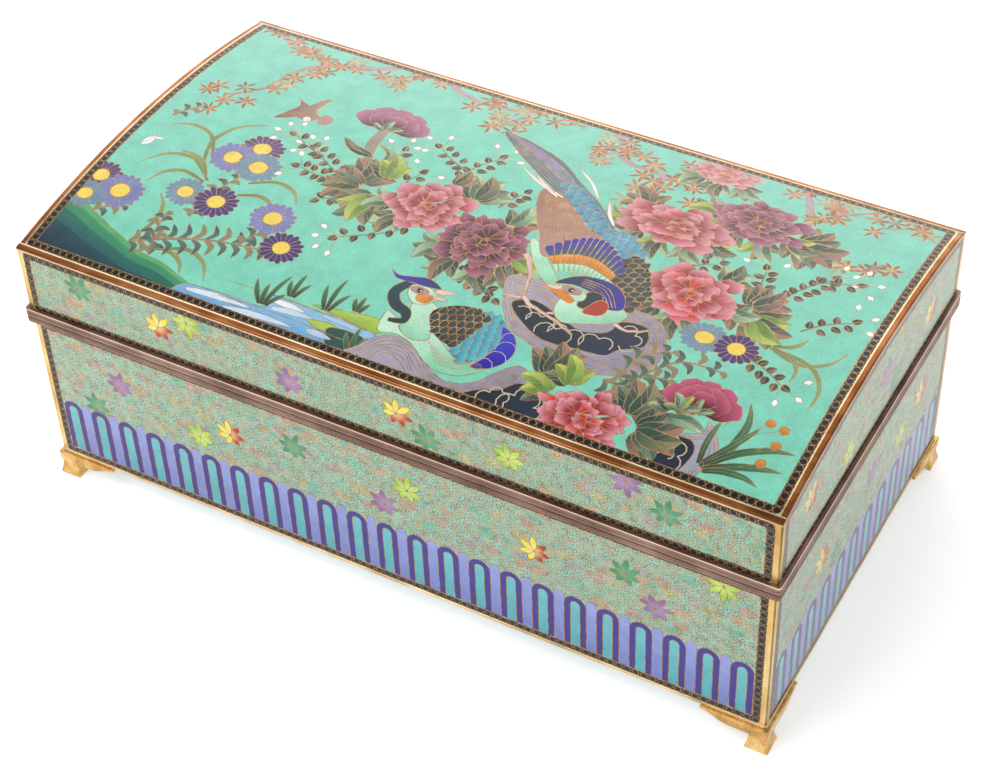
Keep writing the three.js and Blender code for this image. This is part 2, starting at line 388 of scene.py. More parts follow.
def circle(centre: complex, radius: float, sides: int = 12, flat: float = 1.0) -> Line:
    """Return a circle, or an ellipse whose height is flat times its width."""
    turns = (math.tau * (i + 0.5) / sides for i in range(sides))
    return [centre + complex(radius * math.cos(a), radius * flat * math.sin(a)) for a in turns]


def facing_left_inside(outline: Line) -> Line:
    """Return the outline running anticlockwise."""
    area = sum((a.conjugate() * b).imag for a, b in zip(outline, outline[1:] + outline[:1]))
    return outline if area > 0 else outline[::-1]


def headings(line: Line, closed: bool) -> Line:
    """Return the mitre vector at each point, whose length carries a unit offset to the mitre."""
    count = len(line)
    found: Line = []
    for i, point in enumerate(line):
        before = line[i - 1] if closed or i else point
        after = line[(i + 1) % count] if closed or i < count - 1 else point
        into, out = point - before, after - point
        into = into / abs(into) if abs(into) > 1e-9 else 0
        out = out / abs(out) if abs(out) > 1e-9 else 0
        both = into + out
        size = abs(both)
        if size < 1e-6:
            found.append(1j * (out or into or 1))
        elif into and out:
            found.append(1j * both / size / max(size / 2, 0.45))
        else:
            found.append(1j * both / size)
    return found


def winding(spots: np.ndarray, ends: np.ndarray) -> np.ndarray:
    """Return how many times a closed outline turns anticlockwise round each spot."""
    after = np.roll(ends, -1)
    level = spots.imag[:, None]
    side = ((after - ends).conj() * (spots[:, None] - ends)).imag
    up = (ends.imag <= level) & (after.imag > level) & (side > 0)
    down = (ends.imag > level) & (after.imag <= level) & (side < 0)
    return up.sum(axis=1) - down.sum(axis=1)


def inset(outline: Line, amount: float) -> Line:
    """Draw a closed anticlockwise outline in by an amount."""
    return [p + amount * h for p, h in zip(outline, headings(outline, True))]


def ribbon(line: Line, start: float, end: float | None = None, belly: float = 0.0) -> Line:
    """Give a line a width.

    Args:
        line: The centre line.
        start: Its width at the first point.
        end: Its width at the last, or the same.
        belly: Extra width at the middle.

    Returns:
        The closed outline.
    """
    end = start if end is None else end
    last = max(len(line) - 1, 1)
    halves = [
        0.5 * (start + (end - start) * i / last + belly * math.sin(math.pi * i / last))
        for i in range(len(line))
    ]
    sides = [h * w for h, w in zip(headings(line, False), halves)]
    left = [p + s for p, s in zip(line, sides)]
    right = [p - s for p, s in zip(line, sides)]
    return right + left[::-1]


@dataclass(frozen=True)
class Shade:
    """An enamel, or two that run into each other.

    Attributes:
        base: The colour at the start, as sRGB hex.
        tip: The colour at the far end, or the same.
        start: Where the run starts.
        along: The run's direction and length.
        radial: Whether it runs outwards from the start instead of along the direction.
        metal: Whether this is wire and not enamel.
    """

    base: str
    tip: str = ""
    start: complex = 0j
    along: complex = 1 + 0j
    radial: bool = False
    metal: bool = False

    def run(self, start: complex, end: complex, radial: bool = False) -> Shade:
        """Return the same enamels running from one point to another."""
        return Shade(self.base, self.tip, start, (end - start) or 1 + 0j, radial)


GOLD = Shade("#d0a468", metal=True)


@dataclass
class Artwork:
    """A flat drawing made of cells laid one over another, the last on top.

    Attributes:
        edge: The panel's own outline.
        ground: The enamel where nothing else lies.
        wire: The usual wire width in millimetres.
    """

    edge: Line
    ground: Shade
    wire: float = 0.3
    outlines: list[Line] = field(default_factory=list)
    shades: list[Shade] = field(default_factory=list)

    def __post_init__(self) -> None:
        """Lay the ground first."""
        self.area(self.edge, self.ground)

    def area(self, outline: Line, shade: Shade) -> None:
        """Lay a colour with no wire round it."""
        self.outlines.append(facing_left_inside(outline))
        self.shades.append(shade)

    def cell(self, outline: Line, shade: Shade, wire: float | None = None) -> None:
        """Lay a cell with its wire just inside its outline."""
        self.area(outline, GOLD)
        self.outlines.append(inset(self.outlines[-1], self.wire if wire is None else wire))
        self.shades.append(shade)

    def line(self, points: Line, width: float | None = None, end: float | None = None) -> None:
        """Lay a wire along a line."""
        self.area(ribbon(points, width or self.wire, end), GOLD)

    def divided(self, guides: Cuts) -> Division:
        """Cut the panel along every outline that shows.

        Args:
            guides: Further straight cuts, which a curved panel needs.

        Returns:
            The triangles, each with the cell that shows there.
        """
        loops = [side for line in self.outlines for side in zip(line, line[1:] + line[:1])]
        rough = self.cut(loops)
        kinds: dict[Shade, int] = {}
        kind = np.array([kinds.setdefault(s, len(kinds)) for s in self.shades])[rough.cells]
        sides = np.concatenate([rough.triangles[:, [i, (i + 1) % 3]] for i in range(3)])
        sides.sort(axis=1)
        order = np.lexsort((sides[:, 1], sides[:, 0]))
        sides, kind = sides[order], np.tile(kind, 3)[order]
        twin = np.append((sides[1:] == sides[:-1]).all(axis=1), False)
        alike = np.append(kind[1:] == kind[:-1], False)
        ends = rough.spots[sides[~np.roll(twin, 1) & ~(twin & alike)]]
        seams = [(complex(*a), complex(*b)) for a, b in ends]
        return self.cut(seams + guides)

    def cut(self, sides: Cuts) -> Division:
        """Cut the panel along straight sides."""
        numbers: dict[complex, int] = {}
        edges = [
            (numbers.setdefault(a, len(numbers)), numbers.setdefault(b, len(numbers)))
            for a, b in sides
        ]
        points = [Vector((p.real, p.imag)) for p in numbers]
        spots, _, triangles, *_ = delaunay_2d_cdt(points, edges, [], 0, 1e-4)
        flat = np.array([complex(*s) for s in spots])
        corners = np.array(triangles)
        cells = self.owners(flat[corners].mean(axis=1))
        kept = cells >= 0
        used, corners = np.unique(corners[kept], return_inverse=True)
        flat = flat[used]
        return Division(np.stack([flat.real, flat.imag], axis=1), corners.reshape(-1, 3), cells[kept])

    def owners(self, spots: np.ndarray) -> np.ndarray:
        """Return the number of the topmost area over each spot, or -1 outside the panel."""
        order = np.argsort(spots.real)
        ranked = spots.real[order]
        found = np.full(len(spots), -1)
        for number, outline in enumerate(self.outlines):
            ends = np.array(outline)
            low, high = np.searchsorted(ranked, [ends.real.min(), ends.real.max()])
            near = order[low:high]
            level = spots.imag[near]
            near = near[(level > ends.imag.min()) & (level < ends.imag.max())]
            inside = winding(spots[near], ends) > 0
            if number:
                inside &= found[near] >= 0
            found[near[inside]] = number
        return found

    def colours(self, division: Division) -> np.ndarray:
        """Return the linear colour at each corner of each triangle."""
        spots = division.spots[:, 0] + 1j * division.spots[:, 1]
        corners = spots[division.triangles]
        base, tip, start, along, radial = (
            np.array(values)[division.cells][:, None] for values in zip(*(
                (linear(s.base), linear(s.tip or s.base), s.start, s.along, s.radial)
                for s in self.shades))
        )
        away = (corners - start) / along
        part = np.clip(np.where(radial, np.abs(away), away.real), 0, 1)[:, :, None]
        return base * (1 - part) + tip * part

    def metal(self, division: Division) -> np.ndarray:
        """Return which triangles are wire."""
        return np.array([s.metal for s in self.shades])[division.cells]


@dataclass
class Division:
    """A panel cut into triangles.

    Attributes:
        spots: The points in the flat, in millimetres.
        triangles: Three point numbers for each triangle, anticlockwise.
        cells: The number of the area that shows in each triangle.
    """

    spots: np.ndarray
    triangles: np.ndarray
    cells: np.ndarray

    def rim(self) -> list[int]:
        """Return the points round the outside, anticlockwise."""
        sides = np.concatenate([self.triangles[:, [i, (i + 1) % 3]] for i in range(3)])
        pairs = set(map(tuple, sides.tolist()))
        follows = {a: b for a, b in pairs if (b, a) not in pairs}
        start = min(follows)
        loop = [start]
        while follows[loop[-1]] != start:
            loop.append(follows[loop[-1]])
            if len(loop) > len(follows):
                raise ValueError("the panel's outline is pinched")
        return loop


# ------------------------------------------------------------------------ sheets of enamelled copper


@dataclass(frozen=True)
class FlatFace:
    """Where a flat panel's drawing lies in the frame.

    Attributes:
        origin: The drawing's zero, in metres.
        across: The drawing's first direction.
        normal: The way the face looks.
    """

    origin: Vector
    across: Vector
    normal: Vector

    def place(self, spots: np.ndarray, depth: float) -> np.ndarray:
        """Return the drawing's points in metres, sunk by a depth in metres."""
        up = self.normal.cross(self.across)
        flat = np.outer(spots[:, 0] * MM, self.across) + np.outer(spots[:, 1] * MM, up)
        return flat + np.array(self.origin - self.normal * depth)

    def normals(self, spots: np.ndarray) -> np.ndarray:
        """Return the face's normal at each point."""
        return np.tile(np.array(self.normal), (len(spots), 1))

    def guides(self, edge: Line) -> Cuts:
        """Return no cuts, because a flat face needs none."""
        return []


@dataclass(frozen=True)
class DomedFace:
    """A face bowed across Y, like a barrel's side.

    Attributes:
        crown: The height of its middle, in metres.
        radius: The radius of its bow, in metres.
        step: How far apart the cuts along it lie, in millimetres.
    """

    crown: float
    radius: float
    step: float = 8.0

    def place(self, spots: np.ndarray, depth: float) -> np.ndarray:
        """Return the drawing's points in metres, sunk straight down by a depth in metres."""
        x, y = spots[:, 0] * MM, spots[:, 1] * MM
        return np.stack([x, y, self.level(y) - depth], axis=1)

    def level(self, y: Any) -> Any:
        """Return the height at a place or places across the bow, in metres."""
        return self.crown - self.radius + np.sqrt(self.radius**2 - y**2)

    def normals(self, spots: np.ndarray) -> np.ndarray:
        """Return the bow's own normal at each point."""
        y = spots[:, 1] * MM / self.radius
        return np.stack([np.zeros_like(y), y, np.sqrt(1 - y**2)], axis=1)

    def guides(self, edge: Line) -> Cuts:
        """Return cuts straight across the drawing, so that its triangles follow the bow."""
        left, right = min(p.real for p in edge), max(p.real for p in edge)
        low, high = min(p.imag for p in edge), max(p.imag for p in edge)
        count = math.ceil((high - low) / self.step)
        rows = [low + (high - low) * i / count for i in range(1, count)]
        return [(complex(left, y), complex(right, y)) for y in rows]


@dataclass
class EnamelledSheet:
    """A closed copper sheet with cloisonné on its face and plain enamel on its back and edges.

    Attributes:
        name: The piece's name.
        node: The frame node that it stands for.
        slot: The material slot's name.
        art: The drawing on its face.
        face: Where the drawing lies.
        thickness: In metres.
        lining: The plain enamel on the back.
    """

    name: str
    node: str
    slot: str
    art: Artwork
    face: FlatFace | DomedFace
    thickness: float
    lining: str = "#3f8fa6"

    def build(self) -> Piece:
        """Cut the drawing, close the sheet behind it and dress it."""
        guides = self.face.guides(self.art.edge)
        front = self.art.divided(guides)
        rim = front.rim()
        rim_spots = front.spots[rim]
        back_spots, back = self.backing(rim_spots, guides)
        first = len(front.spots)
        count = len(rim)
        order = np.arange(count)
        after = (order + 1) % count
        rim_ids = np.array(rim)
        walls = np.stack([rim_ids[after], rim_ids, first + order, first + after], axis=1)
        points = np.concatenate(
            [self.face.place(front.spots, 0.0), self.face.place(back_spots, self.thickness)]
        )
        faces = front.triangles.tolist() + walls.tolist() + (first + back[:, ::-1]).tolist()
        mesh = bpy.data.meshes.new(self.name)
        mesh.from_pydata(points.tolist(), [], faces)
        piece = placed(self.name, mesh)
        self.colour(mesh, front, count, len(back))
        self.map_for_bake(mesh, front, rim_spots, back_spots, back)
        self.shade(mesh, front, count, len(back))
        claim(piece, self.slot, self.node)
        return piece

    def backing(self, rim: np.ndarray, guides: Cuts) -> tuple[np.ndarray, np.ndarray]:
        """Fill the rim's outline with triangles for the back.

        Args:
            rim: The points round the outside.
            guides: Straight cuts, whose ends are points of the rim.

        Returns:
            The back's points, the rim's first and in its order, and its triangles.
        """
        points = [Vector(p) for p in rim.tolist()]
        edges = []
        for low, high in guides:
            ends = [
                int(np.argmin(np.hypot(rim[:, 0] - p.real, rim[:, 1] - p.imag)))
                for p in (low, high)
            ]
            edges.append(tuple(ends))
        found = delaunay_2d_cdt(points, edges, [list(range(len(points)))], 1, 1e-5)
        spots, triangles, sources = found[0], found[2], found[3]
        number: list[int] = []
        extra: list[tuple[float, float]] = []
        for spot, source in zip(spots, sources):
            if source:
                number.append(source[0])
            else:
                number.append(len(points) + len(extra))
                extra.append(tuple(spot))
        renumbered = np.array(number)[np.array(triangles)]
        spots_all = np.concatenate([rim, np.array(extra).reshape(-1, 2)])
        return spots_all, renumbered

    def colour(self, mesh: Mesh, front: Division, walls: int, back: int) -> None:
        """Write each corner's enamel colour, and the wire's material on its triangles."""
        mesh.materials.append(ENAMEL.material())
        mesh.materials.append(WIRE.material())
        plain = np.tile(np.array(linear(self.lining)), (walls * 4 + back * 3, 1))
        colours = np.concatenate([self.art.colours(front).reshape(-1, 3), plain])
        full = np.ones((len(colours), 4), np.float32)
        full[:, :3] = colours
        layer = mesh.color_attributes.new(GLAZE_ATTRIBUTE, "FLOAT_COLOR", "CORNER")
        layer.data.foreach_set("color", full.ravel())
        slots = np.zeros(len(mesh.polygons), np.int32)
        slots[: len(front.triangles)] = self.art.metal(front)
        mesh.polygons.foreach_set("material_index", slots)

    def map_for_bake(
        self, mesh: Mesh, front: Division, rim: np.ndarray, behind: np.ndarray,
        back: np.ndarray,
    ) -> None:
        """Lay the face, the edges and the back side by side on the bake's map."""
        low, size = rim.min(0), np.ptp(rim, axis=0)
        face_top, back_low, back_top, edge_low, edge_top = 0.8, 0.82, 0.96, 0.975, 0.995
        margin = 0.004

        def spread_over(spots: np.ndarray, bottom: float, top: float) -> np.ndarray:
            share = (spots - low) / size
            across = margin + (1 - 2 * margin) * share[:, 0]
            return np.stack([across, bottom + (top - bottom) * share[:, 1]], axis=1)

        face = spread_over(front.spots, margin, face_top)[front.triangles].reshape(-1, 2)
        count = len(rim)
        start = np.arange(count) / count
        end = start + 1 / count
        walls = np.stack(
            [
                np.stack([end, np.full(count, edge_top)], axis=1),
                np.stack([start, np.full(count, edge_top)], axis=1),
                np.stack([start, np.full(count, edge_low)], axis=1),
                np.stack([end, np.full(count, edge_low)], axis=1),
            ],
            axis=1,
        ).reshape(-1, 2)
        rear = spread_over(behind, back_low, back_top)[back[:, ::-1]].reshape(-1, 2)
        layer = mesh.uv_layers.new(name=BAKE_MAP)
        layer.data.foreach_set("uv", np.concatenate([face, walls, rear]).astype(np.float32).ravel())

    def shade(self, mesh: Mesh, front: Division, walls: int, back: int) -> None:
        """Give the face its own true normals, and leave the edges flat."""
        mesh.update()
        flat = np.zeros(len(mesh.polygons) * 3, np.float32)
        mesh.polygons.foreach_get("normal", flat)
        flat = flat.reshape(-1, 3)
        totals = np.zeros(len(mesh.polygons), np.int32)
        mesh.polygons.foreach_get("loop_total", totals)
        normals = np.repeat(flat, totals, axis=0)
        corners = len(front.triangles) * 3
        normals[:corners] = self.face.normals(front.spots)[front.triangles].reshape(-1, 3)
        mesh.polygons.foreach_set("use_smooth", np.ones(len(mesh.polygons), bool))
        mesh.normals_split_custom_set(normals.tolist())


def placed(name: str, data: bpy.types.ID) -> Piece:
    """Return a new object that holds some data and belongs to the scene."""
    made = bpy.data.objects.new(name, data)
    bpy.context.scene.collection.objects.link(made)
    return made


def claim(piece: Piece, slot: str, *nodes: str) -> None:
    """Let a piece ride with the box in place of its frame nodes.

    Args:
        piece: The finished piece.
        slot: The material slot's name; not used.
        nodes: The frame nodes that it stands for.
    """
    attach(piece, "root")
    if nodes:
        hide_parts(*nodes)
    LOG.info("%s: %d faces", piece.name, len(piece.data.polygons))


# ------------------------------------------------------------------------ borders and scroll ground

RING_GROUND = Shade("#3a2a22")
RING_HEART = Shade("#080709")


@dataclass(frozen=True)
class RingBorder:
    """A row of wire rings on dark enamel round a panel's edge.

    Attributes:
        pitch: How far apart the rings are set, in millimetres.
        width: The row's width.
        sides: Straight pieces in a ring.
    """

    pitch: float
    width: float
    wire: float = 0.21
    sides: int = 10

    def draw(self, art: Artwork) -> None:
        """Lay the row inside the panel's outline, one ring in each corner."""
        middle = inset(facing_left_inside(art.edge), self.width / 2)
        for i, point in enumerate(middle):
            art.area(ribbon([point, middle[(i + 1) % len(middle)]], self.width), RING_GROUND)
        inner = inset(facing_left_inside(art.edge), self.width)
        art.line([*inner, inner[0], inner[1]], self.wire)
        for run in self.runs(middle):
            self.rings_along(art, run)

    @staticmethod
    def runs(loop: Line) -> list[Line]:
        """Split a loop at its sharp corners."""
        count = len(loop)
        corners = [
            i for i in range(count)
            if abs(cmath.phase((loop[(i + 1) % count] - loop[i]) / (loop[i] - loop[i - 1]))) > 0.8
        ]
        runs = []
        for k, start in enumerate(corners):
            end = corners[(k + 1) % len(corners)]
            length = (end - start) % count or count
            runs.append([loop[(start + j) % count] for j in range(length + 1)])
        return runs

    def rings_along(self, art: Artwork, run: Line) -> None:
        """Set rings evenly along one run, from its first point to just before its last."""
        lengths = [abs(b - a) for a, b in zip(run, run[1:])]
        count = max(1, round(sum(lengths) / self.pitch))
        radius = min(self.width, sum(lengths) / count) / 2
        for i in range(count):
            left = sum(lengths) * i / count
            k = 0
            while left > lengths[k] and k < len(lengths) - 1:
                left -= lengths[k]
                k += 1
            centre = run[k] + (run[k + 1] - run[k]) * left / lengths[k]
            art.area(circle(centre, radius, self.sides), GOLD)
            art.area(circle(centre, radius - self.wire, self.sides), RING_HEART)


@dataclass(frozen=True)
class Arcade:
    """The row of round-headed arches along the foot of a body wall.

    Attributes:
        pitch: How far apart the arches stand.
        height: From the row's foot to the top of an arch.
        band: The dark band's width.
        core: The pale core's width.
        shoulder: How far the panes between the arches rise past their heads.
    """

    pitch: float = 12.5
    height: float = 25.0
    band: float = 2.45
    core: float = 3.9
    shoulder: float = 0.5
    wire: float = 0.3

    def draw(self, art: Artwork, left: float, right: float, foot: float) -> None:
        """Lay the row between two places, on a level, with an arch at either end."""
        half = self.core / 2 + self.band
        reach = right - left - 2 * half
        count = round(reach / self.pitch)
        pitch = reach / count
        for i in range(count):
            self.pane(art, left + half + pitch * (i + 0.5), pitch, foot)
        for i in range(count + 1):
            self.arch(art, left + half + pitch * i, foot)

    def headed(self, x: float, half: float, foot: float, top: float) -> Line:
        """Return an upright bar with a round head."""
        head = [complex(x, top - half) + half * cmath.rect(1, math.pi * k / 10) for k in range(11)]
        return [complex(x - half, foot), complex(x + half, foot), *head]

    def pane(self, art: Artwork, x: float, pitch: float, foot: float) -> None:
        """Lay the lavender pane between two arches."""
        half = (pitch - self.core) / 2 - self.band + 0.5
        top = foot + self.height + self.shoulder
        shade = Shade("#7884c4", "#98a4dc").run(complex(x, foot), complex(x, top))
        art.cell(self.headed(x, half, foot, top), shade, self.wire)

    def arch(self, art: Artwork, x: float, foot: float) -> None:
        """Lay one arch: its dark band, then its turquoise core."""
        half = self.core / 2 + self.band
        band = Shade("#382e80", "#42368c").run(complex(x, foot), complex(x, foot + self.height))
        art.cell(self.headed(x, half, foot, foot + self.height), band, self.wire)
        core = Shade("#56aab4", "#74c2c8").run(complex(x, foot), complex(x, foot + self.height))
        head = foot + self.height - self.band
        art.cell(self.headed(x, self.core / 2, foot, head), core, self.wire)


@dataclass(frozen=True)
class ScrollGround:
    """The close ground of small wire scrolls that holds the plain enamel of a wall.

    Attributes:
        pitch: How far apart the scrolls are set, in millimetres.
        turns: How many times each winds.
        steps: Straight pieces in a scroll.
    """

    pitch: float = 2.7
    turns: float = 1.35
    wire: float = 0.36
    steps: int = 11

    def draw(self, art: Artwork, box: Box, rng: random.Random) -> None:
        """Fill a box given as left, low, right and high."""
        left, low, right, high = box
        columns = round((right - left) / self.pitch)
        rows = max(1, round((high - low) / (self.pitch * 0.9)))
        across, up = (right - left) / columns, (high - low) / rows
        for row in range(rows):
            shift = 0.25 if row % 2 else -0.25
            for column in range(columns):
                centre = complex(
                    left + across * (column + 0.5 + shift * 0.9) + rng.uniform(-0.2, 0.2),
                    low + up * (row + 0.5) + rng.uniform(-0.2, 0.2),
                )
                self.scroll(art, centre, rng)

    def scroll(self, art: Artwork, centre: complex, rng: random.Random) -> None:
        """Lay one scroll, wound either way."""
        hand = 1 if rng.random() < 0.5 else -1
        start = rng.uniform(0, math.tau)
        widest = self.pitch * 0.52
        line = [
            centre + cmath.rect(
                0.22 + (widest - 0.22) * (k / self.steps) ** 0.85,
                start + hand * math.tau * self.turns * k / self.steps,
            )
            for k in range(self.steps + 1)
        ]
        art.line(line, self.wire)


class MapleGlaze(Enum):
    """The enamels of a wall's maple leaves: the heart, the tips, and the other lobes' tips."""

    FLAME = ("#f4dc98", "#f2de54", "#bc3a24")
    GREEN = ("#6fb08a", "#3f8f68", "#4f9c74")
    LIME = ("#d8e890", "#a8cc4c", "#b8d860")
    MAUVE = ("#b496b4", "#8c6a9a", "#9c7cae")
    RUST = ("#d0a080", "#b8704c", "#a0604a")
    EMBER = ("#d08458", "#b85c38", "#984c38")
    DUSK = ("#8c9c84", "#4c6c60", "#8a6450")
    PALE = ("#bccaa0", "#8cac80", "#b88c70")


@dataclass(frozen=True)
class MapleLeaf:
    """A leaf of pointed lobes spread like fingers.

    Attributes:
        centre: Where the lobes meet.
        reach: The longest lobe's length.
        turn: The middle lobe's direction, in degrees.
        slim: Half of a lobe's width, as a share of the reach.
    """

    centre: complex
    reach: float
    glaze: MapleGlaze
    turn: float = 90.0
    lobes: int = 7
    wire: float = 0.24
    slim: float = 0.17

    def draw(self, art: Artwork) -> None:
        """Lay the lobes, the outer ones first."""
        heart, tip, other = self.glaze.value
        spread = 300.0 if self.lobes > 5 else 240.0
        places = [i / (self.lobes - 1) - 0.5 for i in range(self.lobes)]
        for part in sorted(places, key=lambda p: -abs(p)):
            angle = self.turn + spread * part
            length = self.reach * (1 - 0.42 * abs(part) * 1.4)
            point = self.centre + polar(length, angle)
            shade = Shade(heart, other if part < -0.02 else tip).run(
                self.centre, self.centre + (point - self.centre) * 0.6)
            half = self.reach * self.slim
            side = polar(half, angle + 90)
            waist = self.centre + polar(length * 0.5, angle)
            outline = smooth([self.centre, waist + side, point, waist - side], True, 2)
            art.cell(outline, shade, self.wire)


# ------------------------------------------------------------------------ walls


@dataclass(frozen=True)
class LeafSpot:
    """Where a maple leaf lies on a wall, as shares of the wall's field."""

    across: float
    up: float
    glaze: MapleGlaze
    turn: float = 90.0


@dataclass
class ScrolledWall:
    """One enamelled wall of the lid or the body.

    Attributes:
        node: The frame node that it stands for.
        across: Its drawing's first direction, seen from outside.
        normal: The way it faces.
        arcade: The arches along its foot, or none.
        seed: The start of its random draws.
    """

    node: str
    across: Vector
    normal: Vector
    leaves: Sequence[tuple[float, float, MapleGlaze, float]]
    arcade: Arcade | None = None
    border: RingBorder = RingBorder(3.15, 2.7)
    scrolls: ScrollGround = ScrollGround()
    seed: int = 1
    leaf_reach: float = 7.5

    def build(self) -> Piece:
        """Draw the wall and close its sheet."""
        low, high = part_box(self.node)
        origin = (low + high) / 2
        origin.z = low.z
        thickness = abs((high - low).dot(self.normal))
        origin += self.normal * (thickness / 2)
        half = abs((high - low).dot(self.across)) / 2 / MM
        edge = self.outline(half)
        art = Artwork(edge, Shade("#8cc2b0", "#98c6b4", 0j, complex(0, 40)), self.scrolls.wire)
        self.decorate(art, half)
        face = FlatFace(origin, self.across, self.normal)
        return EnamelledSheet(f"{self.node}_enamel", self.node, "scroll_enamel", art, face,
                              thickness).build()

    def outline(self, half: float) -> Line:
        """Return the wall's outline: a rectangle, or its frame node's arched end."""
        low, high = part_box(self.node)
        top = (high.z - low.z) / MM
        if not self.arched():
            return [complex(-half, 0), complex(half, 0), complex(half, top), complex(-half, top)]
        dome = lid_dome()
        drop = dome.crown - high.z
        stations = [half * (1 - 2 * i / 24) for i in range(25)]
        levels = dome.place(np.array([[0.0, v] for v in stations]), drop)[:, 2]
        arch = [complex(v, (z - low.z) / MM) for v, z in zip(stations, levels)]
        return [complex(-half, 0), complex(half, 0), *arch]

    def arched(self) -> bool:
        """Return whether this is an end of the lid, whose top follows the dome."""
        return self.node in ("lid_left_panel", "lid_right_panel")

    def decorate(self, art: Artwork, half: float) -> None:
        """Lay the scrolls, leaves and arches, then the border over their ends."""
        rng = random.Random(self.seed)
        inner = half - self.border.width
        foot = self.border.width
        top = max(p.imag for p in art.edge)
        low = foot + self.arcade.height - 1.0 if self.arcade else foot
        self.mottle(art, (-half, low, half, top), rng)
        self.scrolls.draw(art, (-half, low, half, top), rng)
        for leaf in self.leaves:
            spot = LeafSpot(*leaf)
            centre = complex(
                (2 * spot.across - 1) * inner,
                low + spot.up * (min(p.imag for p in art.edge[2:]) - low - self.border.width),
            )
            MapleLeaf(centre, self.leaf_reach, spot.glaze, spot.turn, slim=0.2).draw(art)
        if self.arcade:
            self.arcade.draw(art, -inner, inner, foot)
        self.border.draw(art)

    @staticmethod
    def mottle(art: Artwork, box: Box, rng: random.Random) -> None:
        """Lay broad patches where the ground's colour drifts."""
        left, low, right, high = box
        for _ in range(round((right - left) * (high - low) / 60)):
            centre = complex(rng.uniform(left, right), rng.uniform(low, high))
            tint = rng.choice(["#6cc6b2", "#c0b098", "#b8a8a0", "#7cd0ba", "#a4b0b4", "#b4bc94"])
            art.area(circle(centre, rng.uniform(1.6, 4.2), 7, 0.6), Shade(tint))


def lid_dome() -> DomedFace:
    """Return the lid's bow, worked out from the frame.

    The top panel's box gives the crown, and the front edging's box the height where the panel
    meets it.
    """
    low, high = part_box("lid_top_panel")
    half = (high.y - low.y) / 2
    rise = high.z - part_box("lid_front_edging")[1].z
    return DomedFace(high.z, (half**2 + rise**2) / (2 * rise))


X, Y, Z = Vector((1, 0, 0)), Vector((0, 1, 0)), Vector((0, 0, 1))
F, G, L, M = MapleGlaze.FLAME, MapleGlaze.GREEN, MapleGlaze.LIME, MapleGlaze.MAUVE

WALLS = (
    ScrolledWall("lid_front_panel", X, -Y, (
        (0.07, 0.72, G, 60), (0.19, 0.52, F, 50), (0.235, 0.85, L, -80),
        (0.38, 0.35, M, 100), (0.53, 0.55, F, 40), (0.57, 0.2, G, 110),
        (0.68, 0.45, L, 100), (0.83, 0.9, M, -80), (0.88, 0.5, G, 80),
    ), seed=11),
    ScrolledWall("body_front_panel", X, -Y, (
        (0.105, 0.55, M, 80), (0.06, 0.1, G, 100), (0.225, 0.25, L, 90),
        (0.275, 0.45, F, 100), (0.37, 0.62, G, 70), (0.5, 0.3, M, 95),
        (0.535, 0.62, L, 85), (0.71, 0.45, F, 95), (0.83, 0.62, G, 85),
        (0.87, 0.3, M, 60), (0.955, 0.95, L, -90),
    ), Arcade(), seed=12),
    ScrolledWall("lid_right_panel", Y, X, (
        (0.12, 0.7, F, 60), (0.34, 0.3, L, 100), (0.55, 0.7, M, 80),
        (0.62, 0.25, G, 100), (0.83, 0.5, F, 70),
    ), seed=23),
    ScrolledWall("body_right_panel", Y, X, (
        (0.24, 0.45, F, 100), (0.33, 0.15, G, 80), (0.54, 0.5, M, 90),
        (0.72, 0.35, L, 95), (0.85, 0.5, F, 100),
    ), Arcade(), seed=24),
    ScrolledWall("lid_back_panel", -X, Y, (
        (0.1, 0.6, F, 60), (0.3, 0.35, G, 100), (0.5, 0.6, M, 80),
        (0.7, 0.35, L, 100), (0.9, 0.6, F, 70),
    ), seed=15),
    ScrolledWall("body_back_panel", -X, Y, (
        (0.1, 0.5, L, 90), (0.3, 0.35, F, 90), (0.5, 0.6, G, 90),
        (0.7, 0.35, M, 90), (0.9, 0.5, F, 90),
    ), Arcade(), seed=16),
    ScrolledWall("lid_left_panel", -Y, -X, (
        (0.2, 0.5, M, 60), (0.5, 0.5, F, 100), (0.8, 0.5, G, 80),
    ), seed=17),
    ScrolledWall("body_left_panel", -Y, -X, (
        (0.2, 0.5, G, 90), (0.5, 0.45, L, 100), (0.8, 0.5, F, 90),
    ), Arcade(), seed=18),
)


# ------------------------------------------------------------------------ plants of the picture


class LeafGlaze(Enum):
    """A leaf's enamels at its tip and at its root."""

    LIME = ("#c6da6c", "#5f8a3a")
    SAGE = ("#b2dab6", "#3c6c56")
    PINE = ("#6c907c", "#1d3c34")
    OLIVE = ("#94906a", "#2c4a3c")
    BROWN = ("#b08070", "#2a4c42")
    DARK = ("#5a6654", "#222c28")
    GRASS = ("#4c8860", "#1c4434")
    REED = ("#9aa86a", "#64804e")


